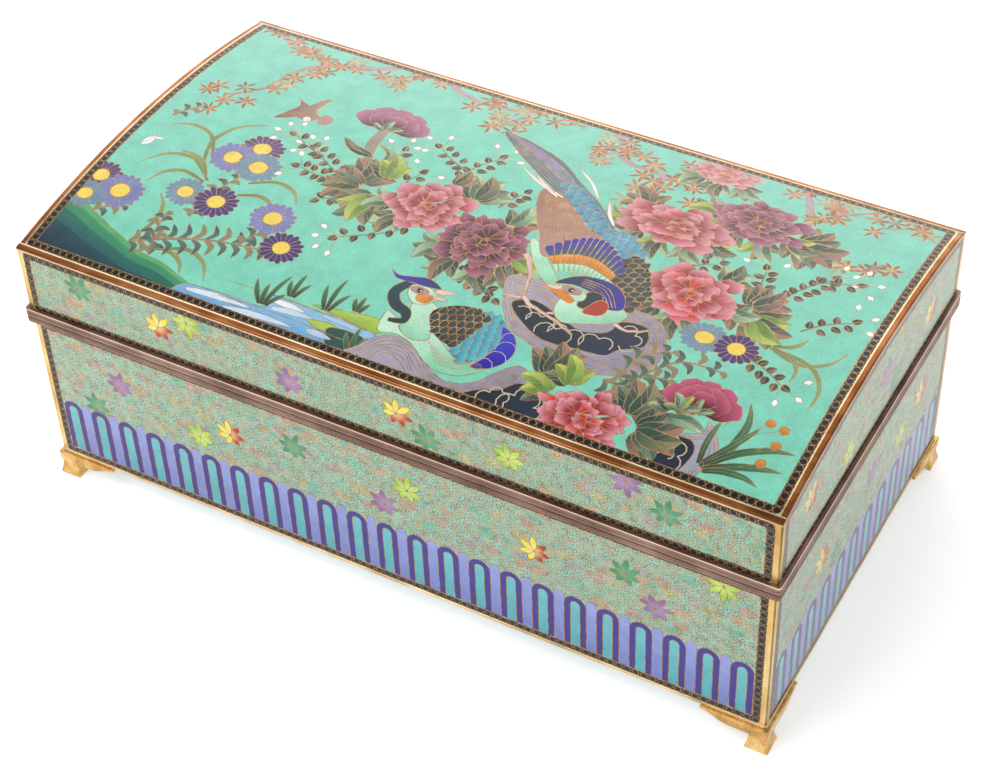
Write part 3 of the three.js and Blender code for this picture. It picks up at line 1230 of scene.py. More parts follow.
@dataclass(frozen=True)
class Leaf:
    """A pointed leaf with a midrib and side veins.

    Attributes:
        root: Where it leaves its stem.
        tip: Its point.
        breadth: Its greatest width.
        bend: How far its middle bows to the left of the straight line, as a share of its length.
        veins: Side veins on each side.
    """

    root: complex
    tip: complex
    breadth: float
    glaze: LeafGlaze
    bend: float = 0.12
    veins: int = 2

    def rib(self) -> Line:
        """Return the midrib."""
        middle = (self.root + self.tip) / 2 + 1j * (self.tip - self.root) * self.bend
        return smooth([self.root, middle, self.tip], False, 3)

    def half(self, rib: Line, side: int) -> Line:
        """Return the edge on one side, from root to tip."""
        last = len(rib) - 1
        swell = [math.sin(math.pi * (i / last) ** 0.8) ** 0.85 for i in range(last + 1)]
        return [
            p + side * h * self.breadth * s / 2
            for p, h, s in zip(rib, headings(rib, False), swell)
        ]

    def draw(self, art: Artwork) -> None:
        """Lay the lit leaf, its darker half, then its ribs."""
        light, dark = self.glaze.value
        rib = self.rib()
        left, right = self.half(rib, 1), self.half(rib, -1)
        wire = 0.16 + min(self.breadth, 5.0) * 0.02
        art.cell(right[:-1] + left[:0:-1], Shade(light, dark).run(self.tip, self.root), wire)
        shadow = [r + (p - r) * 0.84 for r, p in zip(rib, left)]
        art.area(rib[:-1] + shadow[:0:-1], Shade(dark, light).run(
            self.root + (self.tip - self.root) * 0.5, self.tip * 1.6 - self.root * 0.6))
        art.line(rib, wire, 0.14)
        last = len(rib) - 1
        for k in range(1, self.veins + 1):
            i = round(last * k / (self.veins + 1.6))
            for edge in (left, right):
                art.line([rib[i], rib[i] + (edge[min(i + 2, last)] - rib[i]) * 0.86], 0.15)


@dataclass(frozen=True)
class LeafFan:
    """Leaves spread from one root.

    Attributes:
        root: Where they meet.
        turn: The middle leaf's direction, in degrees.
        spread: The angle from first to last.
        length: The longest leaf.
        glazes: Enamels taken in turn.
    """

    root: complex
    turn: float
    spread: float
    length: float
    glazes: Sequence[LeafGlaze]
    count: int = 5

    def draw(self, art: Artwork) -> None:
        """Lay the leaves, the outer ones first."""
        order = sorted(range(self.count), key=lambda i: -abs(i - (self.count - 1) / 2))
        for i in order:
            part = i / (self.count - 1) - 0.5
            reach = self.length * (1 - 0.5 * abs(part)) * (0.92 if i % 2 else 1.0)
            angle = self.turn + self.spread * part
            root = self.root + polar(self.length * 0.12, angle)
            tip = self.root + polar(reach, angle)
            glaze = self.glazes[i % len(self.glazes)]
            Leaf(root, tip, reach * 0.44, glaze, 0.14 * (1 if part < 0 else -1)).draw(art)


@dataclass(frozen=True)
class Sprig:
    """A fine twig of small dark leaves that ends in white buds.

    Attributes:
        root: Its foot.
        tip: Where the buds spread from.
        pairs: Pairs of leaves along it.
        glaze: The leaves' enamels.
    """

    root: complex
    tip: complex
    pairs: int = 2
    buds: int = 3
    glaze: LeafGlaze = LeafGlaze.DARK

    def draw(self, art: Artwork) -> None:
        """Lay the twig, then its leaves and buds."""
        way = self.tip - self.root
        stem = smooth([self.root, self.root + way * (0.5 + 0.06j), self.tip], False, 4)
        art.area(ribbon(stem, 0.8, 0.4), Shade("#8a7660"))
        heading = math.degrees(cmath.phase(way))
        for k in range(2 * self.pairs + 1):
            foot = self.root + way * (0.16 + 0.84 * k / (2 * self.pairs))
            side = 0 if k == 2 * self.pairs else 1 - 2 * (k % 2)
            tip = foot + polar(4.6 + 0.5 * math.sin(3.1 * k), heading + side * (58 + 8 * (k % 3)))
            glaze = LeafGlaze.BROWN if k % 3 == 1 else self.glaze
            Leaf(foot + (tip - foot) * 0.12, tip, 3.1, glaze, 0.04, 0).draw(art)
        for i in range(self.buds):
            angle = heading + 110 * (i / max(self.buds - 1, 1) - 0.5)
            bud = self.tip + polar(6.4 + math.sin(7.0 * i), angle)
            art.line([self.tip, bud], 0.22)
            outline = ribbon([bud, bud + polar(1.5, angle), bud + polar(3.2, angle)], 0.8, 0.4, 2.0)
            art.cell(outline, Shade("#ffffff"), 0.22)


class PetalGlaze(Enum):
    """A flower's enamels: the petals' roots, their edges, and the heart."""

    ROSE = ("#98323c", "#eaa4b0", "#b04048")
    CORAL = ("#a02c34", "#f0a2b4", "#cc3c38")
    PLUM = ("#460e1e", "#b46c88", "#641828")
    MAUVE = ("#5c1c34", "#bc7896", "#742848")
    PINK = ("#c05c6c", "#ecb4be", "#cc707c")
    CRIMSON = ("#5c0c1a", "#cc5c80", "#841830")


@dataclass(frozen=True)
class Peony:
    """A full double peony seen from its face.

    Attributes:
        radius: Its reach.
        flat: Its height as a share of its width.
        turn: Where its first petal points, in degrees.
    """

    centre: complex
    radius: float
    glaze: PetalGlaze
    flat: float = 0.85
    turn: float = 10.0
    whorls: Sequence[tuple[float, float, int, float]] = (
        (0.55, 1.0, 11, 0.24),
        (0.40, 0.86, 10, 0.23),
        (0.24, 0.68, 9, 0.20),
        (0.10, 0.50, 8, 0.17),
        (0.00, 0.31, 6, 0.13),
    )

    def draw(self, art: Artwork) -> None:
        """Lay the whorls from the outside in, each a little off centre, then the heart."""
        root, edge, heart = self.glaze.value
        for level, (near, far, count, half) in enumerate(self.whorls):
            drift = polar(0.045 * level * self.radius, 150 * level + 3 * self.turn)
            for i in range(count):
                sway = 13 * math.sin(5.3 * i + 2.1 * level + self.turn)
                angle = self.turn + 360 * (i + 0.5 * (level % 2)) / count + sway
                reach = far * (1 + 0.13 * math.sin(3.7 * i + 1.9 * level + self.turn))
                width = half * (1 + 0.28 * math.sin(2.9 * i + 3.1 * level + self.turn))
                shade = Shade(heart if (i + level) % 4 == 0 else root, edge)
                self.petal(art, drift, angle, near, reach, width, shade)
        art.cell(self.pressed(circle(0j, self.radius * 0.1, 7)), Shade(heart), 0.24)

    def pressed(self, outline: Line) -> Line:
        """Return an outline about the heart, flattened to the flower's own height."""
        return [self.centre + complex(p.real, p.imag * self.flat) for p in outline]

    def petal(
        self, art: Artwork, drift: complex, angle: float, near: float, far: float, half: float,
        shade: Shade,
    ) -> None:
        """Lay one petal: narrow at its root, with a frilled round edge."""
        way = polar(1.0, angle)
        palm = drift + way * self.radius * (near * 0.35 + far * 0.65)
        length = self.radius * (far - near) * 0.5
        edge = []
        for k in range(11):
            turn = math.radians(-126 + 252 * k / 10)
            frill = 1.0 - 0.18 * (k in (3, 6)) + 0.06 * (k in (1, 5, 8))
            edge.append(palm + way * frill * complex(
                length * math.cos(turn), self.radius * half * math.sin(turn)))
        root = drift + way * self.radius * max(near - 0.12, 0.0)
        bounds = self.pressed([palm - way * length * 0.35, palm + way * length * 0.95])
        art.cell(self.pressed([root, *edge]), shade.run(*bounds), 0.19)
        if self.radius * half > 2.2:
            crease = palm + way * complex(length * 0.5, self.radius * half * 0.25)
            art.line(self.pressed([root, crease]), 0.14)


@dataclass(frozen=True)
class Bush:
    """A peony with fans of leaves round it.

    Attributes:
        turns: Where the fans stand, in degrees.
        glazes: The leaves' enamels.
        reach: The leaves' length as a share of the flower's radius.
    """

    flower: Peony
    turns: Sequence[float]
    glazes: Sequence[LeafGlaze]
    reach: float = 0.95

    def draw(self, art: Artwork) -> None:
        """Lay the fans, then the flower."""
        for k, turn in enumerate(self.turns):
            rim = polar(self.flower.radius * 0.72, turn)
            root = self.flower.centre + complex(rim.real, rim.imag * self.flower.flat)
            glazes = [*self.glazes[k % len(self.glazes):], *self.glazes]
            LeafFan(root, turn, 86, self.flower.radius * self.reach, glazes, 4).draw(art)
        self.flower.draw(art)


@dataclass(frozen=True)
class PeonyCup:
    """A half-open peony seen from its side.

    Attributes:
        foot: The base of the cup, where the stem joins.
        radius: The height of its petals.
        turn: Where it points, in degrees.
    """

    foot: complex
    radius: float
    glaze: PetalGlaze
    turn: float = 90.0

    def draw(self, art: Artwork) -> None:
        """Lay the petals from the back and the sides to the front."""
        root, edge, _ = self.glaze.value
        for lean, reach, half in (
            (0, 0.95, 0.3), (-34, 1.0, 0.32), (34, 1.0, 0.32), (-66, 1.02, 0.3), (66, 1.02, 0.3),
            (-18, 0.8, 0.3), (18, 0.8, 0.3), (-48, 0.78, 0.26), (48, 0.78, 0.26), (0, 0.6, 0.3),
        ):
            way = polar(1.0, self.turn + lean)
            palm = self.foot + way * self.radius * reach * 0.62
            edge_line = []
            for k in range(11):
                turn = math.radians(-125 + 250 * k / 10)
                ruffle = 1 + 0.1 * abs(math.sin(2.4 * turn))
                edge_line.append(
                    palm + way * self.radius * ruffle
                    * complex(reach * 0.38 * math.cos(turn), half * math.sin(turn))
                )
            shade = Shade(root, edge).run(self.foot + way * self.radius * reach * 0.4,
                                          self.foot + way * self.radius * reach)
            art.cell([self.foot, *edge_line], shade, 0.2)
            art.line([self.foot, palm], 0.15)
        for lean in (-70, 70, 0):
            Leaf(self.foot - polar(1.0, self.turn), self.foot + polar(self.radius * 0.42,
                 self.turn + lean), self.radius * 0.2, LeafGlaze.SAGE, 0.1, 0).draw(art)


class AsterGlaze(Enum):
    """An aster's petals, root to tip."""

    PURPLE = ("#5a4484", "#5c4270")
    VIOLET = ("#3c2c70", "#4a3470")
    PERIWINKLE = ("#7c86bc", "#7c84b8")
    SLATE = ("#6a96ae", "#7092ac")


@dataclass(frozen=True)
class Aster:
    """A daisy-like flower with narrow petals round a yellow disc."""

    centre: complex
    radius: float
    glaze: AsterGlaze
    flat: float = 0.92
    petals: int = 18

    def draw(self, art: Artwork) -> None:
        """Lay the ring of petals, the lines between them, then the disc."""
        root, tip = self.glaze.value
        edge: Line = []
        for i in range(self.petals * 4):
            swell = (0.86, 0.98, 1.0, 0.97)[i % 4] * (1 + 0.04 * math.sin(2.4 * (i // 4)))
            edge.append(polar(self.radius * swell, 90 * i / self.petals))
        pressed = [self.centre + complex(p.real, p.imag * self.flat) for p in edge]
        art.cell(pressed, Shade(root, tip).run(self.centre, pressed[2], True), 0.2)
        for notch in pressed[::4]:
            art.line([self.centre, self.centre + (notch - self.centre) * 0.98], 0.26, 0.2)
        art.area(circle(self.centre, self.radius * 0.43, 14, self.flat), GOLD)
        disc = circle(self.centre, self.radius * 0.39, 14, self.flat)
        art.area(disc, Shade("#fdf2a0", "#f4d45c").run(self.centre, disc[0], True))


@dataclass(frozen=True)
class Fern:
    """A frond with comma-shaped leaflets set by turns along its stem."""

    root: complex
    tip: complex
    pairs: int = 9
    reach: float = 6.0
    bend: float = 0.06

    def draw(self, art: Artwork) -> None:
        """Lay the stem, then the leaflets."""
        way = self.tip - self.root
        stem = smooth(
            [self.root, (self.root + self.tip) / 2 + 1j * way * self.bend, self.tip], False, 6
        )
        art.area(ribbon(stem, 1.3, 0.5), Shade("#9c7c60"))
        art.line(stem, 0.16)
        heading = math.degrees(cmath.phase(way))
        for k in range(2 * self.pairs):
            part = (k + 0.6) / (2 * self.pairs + 0.6)
            foot = stem[min(int(part * len(stem)), len(stem) - 1)]
            reach = self.reach * (0.55 + 0.5 * math.sin(math.pi * min(part + 0.12, 1.0)))
            side = 1 - 2 * (k % 2)
            curl = smooth([foot, foot + polar(reach * 0.6, heading + side * 40),
                           foot + polar(reach, heading + side * 74)], False, 3)
            tint = ("#9a7a64", "#7a8a6c") if k % 3 == 0 else ("#5c7c70", "#36524c")
            art.cell(ribbon(curl, 0.5, 0.3, 1.9), Shade(*tint).run(foot, curl[-1]), 0.2)


@dataclass(frozen=True)
class Blade:
    """One blade of grass, bowed, and pointed at its tip."""

    root: complex
    tip: complex
    bow: float = 0.25
    width: float = 1.5
    glaze: LeafGlaze = LeafGlaze.REED

    def draw(self, art: Artwork) -> None:
        """Lay the blade with its one rib."""
        way = self.tip - self.root
        line = smooth(
            [self.root, self.root + way * (0.38 + 0.9j * self.bow),
             self.root + way * (0.75 + 0.8j * self.bow), self.tip], False, 4
        )
        light, dark = self.glaze.value
        outline = ribbon(line, self.width * 0.55, 0.2, self.width * 0.55)
        art.cell(outline, Shade(dark, light).run(self.root, self.tip), 0.18)
        if self.width > 2.2:
            art.line(line, 0.16)


@dataclass(frozen=True)
class Branch:
    """A knotty branch that thins along its way."""

    course: Sequence[complex]
    thick: float
    thin: float
    shade: Shade = Shade("#b4a4b2", "#a08e98")

    def draw(self, art: Artwork) -> None:
        """Lay the branch and one line of its bark."""
        line = smooth(self.course, False, 4)
        wobble = [
            p + 0.18 * self.thick * math.sin(2.3 * i) * 1j * polar(1, 40 * i)
            for i, p in enumerate(line)
        ]
        shade = self.shade.run(line[0], line[-1])
        art.cell(ribbon(wobble, self.thick, self.thin), shade, 0.26)
        if self.thick > 2.2:
            art.line([p + 0.15 * self.thick for p in line[1:-2]], 0.2)


# ------------------------------------------------------------------------ land, water and rock


@dataclass(frozen=True)
class Patch:
    """A smooth-edged area, with lines inside that follow its edge.

    Attributes:
        outline: The few points that its edge passes.
        contours: How many inner lines.
        gap: How far apart they run.
        wire: The edge's wire, or 0 for none.
    """

    outline: Sequence[complex]
    shade: Shade
    contours: int = 0
    gap: float = 1.5
    wire: float = 0.3

    def draw(self, art: Artwork) -> None:
        """Lay the area, then the inner lines where they stay clear of its edge."""
        edge = facing_left_inside(smooth(self.outline, True, 4))
        art.cell(edge, self.shade, self.wire)
        walls = np.array(edge)
        for k in range(1, self.contours + 1):
            depth = self.gap * k
            ring = [p + 0.25 * self.gap * polar(1, 47 * i + 90 * k)
                    for i, p in enumerate(inset(edge, depth))]
            ring.append(ring[0])
            spots = np.array(ring)
            clear = np.abs(spots[:, None] - walls).min(axis=1) > 0.75 * depth
            clear &= winding(spots, walls) > 0
            run: Line = []
            for spot, good in zip([*ring, ring[0]], [*clear, False]):
                if good:
                    run.append(spot)
                    continue
                if len(run) > 2:
                    art.line(run, 0.26)
                run = []


@dataclass(frozen=True)
class CloudLine:
    """A pale line of scallops over a dark rock."""

    course: Sequence[complex]
    width: float = 0.42

    def draw(self, art: Artwork) -> None:
        """Lay the line, which bows to the left between its points."""
        line: Line = []
        for a, b in zip(self.course, self.course[1:]):
            line += [a + (b - a) * (0.5 - 0.5 * polar(1, -180 * t / 5) * (1 + 0j)) for t in range(5)]
        art.area(ribbon([*line, self.course[-1]], self.width), Shade("#cfc0a8"))


@dataclass(frozen=True)
class Bough:
    """A branch with maple leaves scattered along it.

    Attributes:
        course: The points that it passes.
        thick: Its width where it starts.
        reach: How far to each side they stand.
        seed: Fixes where they fall.
    """

    course: Sequence[complex]
    thick: float
    leaves: int
    reach: float = 8.0
    seed: int = 1

    def draw(self, art: Artwork) -> None:
        """Lay the branch, then the leaves."""
        Branch(self.course, self.thick, 1.3).draw(art)
        rng = random.Random(self.seed)
        line = smooth(self.course, False, 6)
        glazes = (MapleGlaze.RUST, MapleGlaze.EMBER, MapleGlaze.DUSK, MapleGlaze.EMBER,
                  MapleGlaze.RUST, MapleGlaze.PALE)
        for k in range(self.leaves):
            spot = line[int((k + 0.5) / self.leaves * (len(line) - 1))]
            spot += polar(rng.uniform(0.35, 1.0) * self.reach, rng.uniform(0, 360))
            glaze = glazes[(k + self.seed) % len(glazes)]
            MapleLeaf(spot, rng.uniform(5.2, 6.8), glaze, rng.uniform(0, 360), 6, 0.18, 0.125).draw(art)


# ------------------------------------------------------------------------ birds of the picture


@dataclass(frozen=True)
class Plumage:
    """Small rounded feathers that overlap like scales over an area.

    Attributes:
        area: The outline that they fill.
        toward: The direction that their tips point, in degrees.
        size: A feather's width.
        base: The enamel at their roots.
        tip: The enamel at their tips.
    """

    area: Sequence[complex]
    toward: float
    size: float
    base: str
    tip: str
    wire: float = 0.18

    def draw(self, art: Artwork) -> None:
        """Lay the feathers from their tips' end, so that each row covers the next one's roots."""
        edge = smooth(self.area, True, 3)
        art.cell(edge, Shade(self.base), 0.2)
        way = polar(1.0, self.toward)
        turned = np.array([p / way for p in edge])
        left, bottom = turned.real.min(), turned.imag.min()
        pitch = self.size * 0.6
        for row in range(int((turned.real.max() - left) / pitch), -1, -1):
            for k in range(int((turned.imag.max() - bottom) / self.size) + 2):
                spot = complex(left + row * pitch, bottom + (k + 0.5 * (row % 2)) * self.size)
                if winding(np.array([spot]), turned)[0] == 0:
                    continue
                arc = [spot + self.size * complex(0.62 * math.cos(a), 0.52 * math.sin(a))
                       for a in (-1.9, -1.25, -0.62, 0.0, 0.62, 1.25, 1.9)]
                feather = [p * way for p in arc]
                shade = Shade(self.base, self.tip).run(feather[0], feather[3])
                art.cell(feather, shade, self.wire)


@dataclass(frozen=True)
class FeatherFan:
    """Long feathers side by side, whose roots and tips lie on two bowed rows.

    Attributes:
        roots: The ends of the row of roots.
        tips: The ends of the row of tips.
        bows: How far each row bows out.
        base: The enamel at the roots.
        tip: The enamel at the tips.
        scallops: Whether each feather ends in its own curve.
    """

    roots: tuple[complex, complex]
    tips: tuple[complex, complex]
    bows: tuple[float, float]
    count: int
    base: str
    tip: str
    scallops: bool = False

    def along(self, row: tuple[complex, complex], bow: float, part: float) -> complex:
        """Return a place on a row."""
        across = row[1] - row[0]
        return row[0] + across * part + 1j * across / abs(across) * bow * math.sin(math.pi * part)

    def draw(self, art: Artwork) -> None:
        """Lay the feathers in order."""
        for i in range(self.count):
            parts = (i / self.count, (i + 1) / self.count)
            root_a, root_b = (self.along(self.roots, self.bows[0], p) for p in parts)
            tip_a, tip_b = (self.along(self.tips, self.bows[1], p) for p in parts)
            middle, half = (tip_a + tip_b) / 2, (tip_a - tip_b) / 2
            scallop = []
            if self.scallops:
                scallop = [middle + half * polar(1.0, -a) for a in (30, 70, 110, 150)]
            shade = Shade(self.base, self.tip).run(root_a, tip_a)
            art.cell([root_a, tip_a, *scallop, tip_b, root_b], shade, 0.18)


@dataclass(frozen=True)
class Eye:
    """A bird's eye in a pink surround."""

    centre: complex
    reach: float

    def draw(self, art: Artwork) -> None:
        """Lay the surround, the iris and the light in it."""
        art.cell(circle(self.centre, self.reach, 14, 0.5), Shade("#c08a88"), 0.24)
        art.area(circle(self.centre, self.reach * 0.66, 12, 0.46), Shade("#a89890"))
        art.cell(circle(self.centre, self.reach * 0.34, 10), Shade("#38302e"), 0.2)
        art.area(circle(self.centre + self.reach * 0.1, self.reach * 0.1, 6), Shade("#f2f2ee"))


@dataclass(frozen=True)
class Streaks:
    """Fine wires side by side that fill a band between two edges."""

    first: Sequence[complex]
    last: Sequence[complex]
    count: int
    width: float = 0.16

    def draw(self, art: Artwork) -> None:
        """Lay the wires."""
        for i in range(self.count):
            part = (i + 0.5) / self.count
            course = [a + (b - a) * part for a, b in zip(self.first, self.last)]
            art.line(smooth(course, False, 3), self.width)


@dataclass(frozen=True)
class Plume:
    """One long feather that tapers to both ends."""

    root: complex
    tip: complex
    bow: float
    width: float
    shade: Shade

    def draw(self, art: Artwork) -> None:
        """Lay the plume."""
        way = self.tip - self.root
        line = smooth([self.root, self.root + way * (0.45 + 1j * self.bow), self.tip], False, 4)
        shade = self.shade.run(self.root, self.tip)
        art.cell(ribbon(line, self.width * 0.4, 0.2, self.width * 0.6), shade, 0.2)


# ------------------------------------------------------------------------ the lid's picture

LIME, SAGE, PINE, OLIVE = LeafGlaze.LIME, LeafGlaze.SAGE, LeafGlaze.PINE, LeafGlaze.OLIVE
BROWN, GRASS = LeafGlaze.BROWN, LeafGlaze.GRASS
SAGES, BROWNS, LIMES = (SAGE, PINE, SAGE, OLIVE), (BROWN, PINE, BROWN, OLIVE), (LIME, PINE, LIME)

ROCK = Shade("#aca4b2", "#908ea4")
NIGHT = Shade("#121828", "#1e2a40")
MINT = Shade("#caf0d4", "#8ccfac")
SNOW = Shade("#f8f8f6", "#e8ecea")


@dataclass(frozen=True)
class LidPicture:
    """Two pheasants by a stream among peonies, asters and maple, on turquoise.

    Attributes:
        ground: The turquoise enamel.
        border: The row of rings round it.
        thickness: The sheet's own, in metres.
    """

    ground: Shade = Shade("#82d2ba")
    border: RingBorder = RingBorder(2.8, 2.8)
    thickness: float = 0.0025

    def build(self) -> None:
        """Draw the picture from its far things to its near ones, then make the sheet."""
        low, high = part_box("lid_top_panel")
        x, y = (high.x - low.x) / 2 / MM, (high.y - low.y) / 2 / MM
        edge = [complex(-x, -y), complex(x, -y), complex(x, y), complex(-x, y)]
        art = Artwork(edge, self.ground, 0.26)
        for scene in (
            self.bank, self.stream(), self.maples(), self.left_garden(), self.small_bird,
            self.middle_garden(), self.right_garden(), self.rocks(), self.hen(), self.cock(),
            self.foreground(), (self.border,),
        ):
            if callable(scene):
                scene(art)
            else:
                for thing in scene:
                    thing.draw(art)
        LOG.info("lid picture: %d cells and wires", len(art.outlines))
        EnamelledSheet(
            "lid_picture", "lid_top_panel", "picture_enamel", art, lid_dome(), self.thickness
        ).build()

    @staticmethod
    def bank(art: Artwork) -> None:
        """Draw the grassy bank at the front left, which darkens to navy."""
        crest = smooth([-142-48j, -133-51j, -124-55j, -113-59j, -103-62.5j, -92-64j, -84-66.5j,
                        -74-69.5j, -66-74j], False, 3)
        tints = ("#5eae6e", "#3f8f66", "#27695e", "#1b4750", "#16303f")
        for k, (upper, lower) in enumerate(zip(tints, tints[1:])):
            depth = 2.0 * k + 0.8 * k * k
            line = [p - 1j * depth * (0.4 - 0.6 * (p.real + 66) / 76) for p in crest]
            outline = [*line, -66-77j, -142-77j]
            shade = Shade(upper, lower).run(-104-62j - 1j * depth, -105.4-67j - 1j * depth)
            if k:
                art.area(outline, shade)
            else:
                art.cell(outline, shade)

    @staticmethod
    def stream() -> list[Any]:
        """Return the stream, its far bank and its grass."""
        things: list[Any] = [
            Patch([-80-69j, -64-67.5j, -48-67j, -50-62j, -38-61.5j, -22-62j, -7-63j, -10-68j,
                   -18-74.5j, -50-76j, -80-76j], Shade("#8cc0e2", "#6ea6d2").run(-60-66j, -60-74j)),
            Patch([-34-60j, -22-58j, -12-56.5j, -6-58j, -7-62.5j, -20-61.5j],
                  Shade("#b4d264", "#94b84c").run(-14-57j, -14-62j)),
            Patch([-32-66j, -24-64.5j, -20-66j, -26-68.5j], Shade("#a8c65c")),
            Patch([-24-67j, -16-65j, -8-67j, -8-76j, -18-76j], Shade("#28504c", "#1f3b3c")),
        ]
        for start, end, tint in (
            (-78-70.5j, -52-69.4j, "#dbe8f4"), (-62-72.5j, -34-71j, "#cfe0f0"),
            (-47-63.5j, -34-64j, "#e6eef6"), (-46-66.6j, -30-65.2j, "#c4daee"),
            (-30-70j, -20-70.5j, "#b8d0ea"), (-28-62.6j, -12-63.6j, "#a8cce8"),
        ):
            things.append(Plume(start, end, 0.02, 3.2, Shade(tint)))
        for y in (-61.2, -68.0):
            line = (complex(-66, y - 0.8), complex(-44, y), complex(-26, y - 0.6),
                    complex(-10, y - 1.4))
            things.append(Streaks(line, line, 1, 0.26))
        for x, y, lengths in (
            (-51, -66.5, (11, 9, 15, 8)), (-43, -60, (7, 11, 8)), (-29, -60.5, (11, 15, 10)),
            (-19, -57, (6, 7, 5)), (-12, -73, (9, 11, 8, 6)),
        ):
            for i, length in enumerate(lengths):
                lean = 90 + 22 * (len(lengths) / 2 - i - 0.5)
                root = complex(x + 0.8 * i, y)
                things.append(Blade(root, root + polar(length, lean), 0.05, 2.2, GRASS))
        return things

    @staticmethod
    def maples() -> list[Any]:
        """Return the boughs along the back edge with their leaves."""
        return [
            Bough((-136+76j, -124+68j, -112+64j, -100+62j), 3.4, 9, 9, 1),
            Bough((-76+76j, -86+67j, -99+62j, -107+54j, -111+44j, -114+31j, -124+22j), 3.0, 15,
                  9, 2),
            Bough((-60+76j, -48+68j, -34+66j, -20+70j, -8+76j), 3.4, 15, 10, 3),
            Bough((-20+69j, -22+60j, -30+50j), 2.2, 8, 9, 4),
            Bough((12+76j, 19+67j, 24+57j, 34+55j, 46+56j, 51+63j), 3.6, 12, 9, 5),
            Bough((40+56j, 42+48j, 39+41j), 3.0, 6, 10, 6),
            Bough((20+60j, 12+53j), 1.8, 5, 7, 7),
            Bough((86+76j, 92+66j, 98+53j, 104+63j, 112+69j, 120+76j), 3.4, 11, 9, 8),
            Bough((104+63j, 101+70j, 96+76j), 2.6, 4, 6, 9),
            Bough((136+74j, 128+68j, 120+63j), 2.0, 6, 6, 10),
            Bough((118+34j, 124+38j, 130+42j), 1.4, 5, 4, 11),
            Bough((-66+76j, -70+66j, -74+60j), 2.0, 6, 7, 12),
            *(MapleLeaf(spot, 5.8, glaze, turn, 7, 0.18, 0.115) for spot, glaze, turn in (
                (-131+22j, MapleGlaze.EMBER, 110), (-122+19j, MapleGlaze.RUST, 20),
                (-124+12j, MapleGlaze.EMBER, 250), (54+52j, MapleGlaze.EMBER, 80),
                (57+43j, MapleGlaze.EMBER, 200))),
            Fern(-133+2j, -126+12j, 3, 4.0),
        ]

    @staticmethod
    def left_garden() -> list[Any]:
        """Return the asters, ferns and grasses, and the butterfly."""
        blades = (
            (-105-20j, -97+13j, 0.3), (-106-12j, -131-3j, -0.3), (-100-24j, -128-25j, -0.34),
            (-101-25j, -120-33j, -0.3), (-102-22j, -118-14j, -0.18), (-86-19j, -64-22j, 0.3),
            (-86-26j, -70-28j, 0.24), (-108-57j, -112-36j, -0.2), (-98-60j, -74-66j, 0.3),
            (-97-59j, -84-66j, 0.2),
        )
        asters = (
            (-92-0.5j, 8.6, AsterGlaze.PURPLE), (-99-9j, 8.8, AsterGlaze.PERIWINKLE),
            (-87.5-10j, 8.8, AsterGlaze.SLATE), (-104-32j, 7.6, AsterGlaze.SLATE),
            (-91-32j, 8.4, AsterGlaze.VIOLET), (-68-31j, 8.6, AsterGlaze.PERIWINKLE),
            (-57.5-42j, 8.0, AsterGlaze.VIOLET), (-137-37j, 8.0, AsterGlaze.PURPLE),
            (-126-41j, 9.2, AsterGlaze.PERIWINKLE), (-137-47j, 7.4, AsterGlaze.SLATE),
        )
        return [
            *(Blade(*blade, 2.0) for blade in blades),
            Fern(-109-60j, -58-45j, 15, 7.5), Fern(-96-42j, -90-16j, 6, 5.5),
            Fern(-99-62j, -104-44j, 5, 5.5), Fern(-72-47j, -66-36j, 3, 5.0),
            Fern(-130-53j, -120-47j, 3, 4.5),
            *(Aster(*aster) for aster in asters),
            Plume(-134-16j, -127-11j, 0.2, 2.6, SNOW), Plume(-134-17j, -131.5-10j, -0.2, 2.6, SNOW),
        ]

    @staticmethod
    def small_bird(art: Artwork) -> None:
        """Draw the small brown bird that flies down on the left."""
        brown = Shade("#b4907e", "#7c5a52")
        for outline in (
            [-84+26j, -88+29j, -86.5+38.5j, -90+36j, -92+31j, -99+34j, -95+29j, -100+17.5j,
             -92+22j, -87+21j],
            [-84+28j, -81+28.5j, -78.5+26j, -80+22.5j, -84+22.5j],
        ):
            art.cell(smooth(outline, True, 2), brown.run(outline[0], outline[0] - 14), 0.26)
        for streaks in (Streaks([-87+29j, -91+35j], [-86+30j, -87.5+36.5j], 3),
                        Streaks([-88+25j, -98+19j], [-89+28j, -98+23j], 4)):
            streaks.draw(art)
        art.area(circle(-88+22.8j, 1.5, 10), Shade("#efe6dc"))

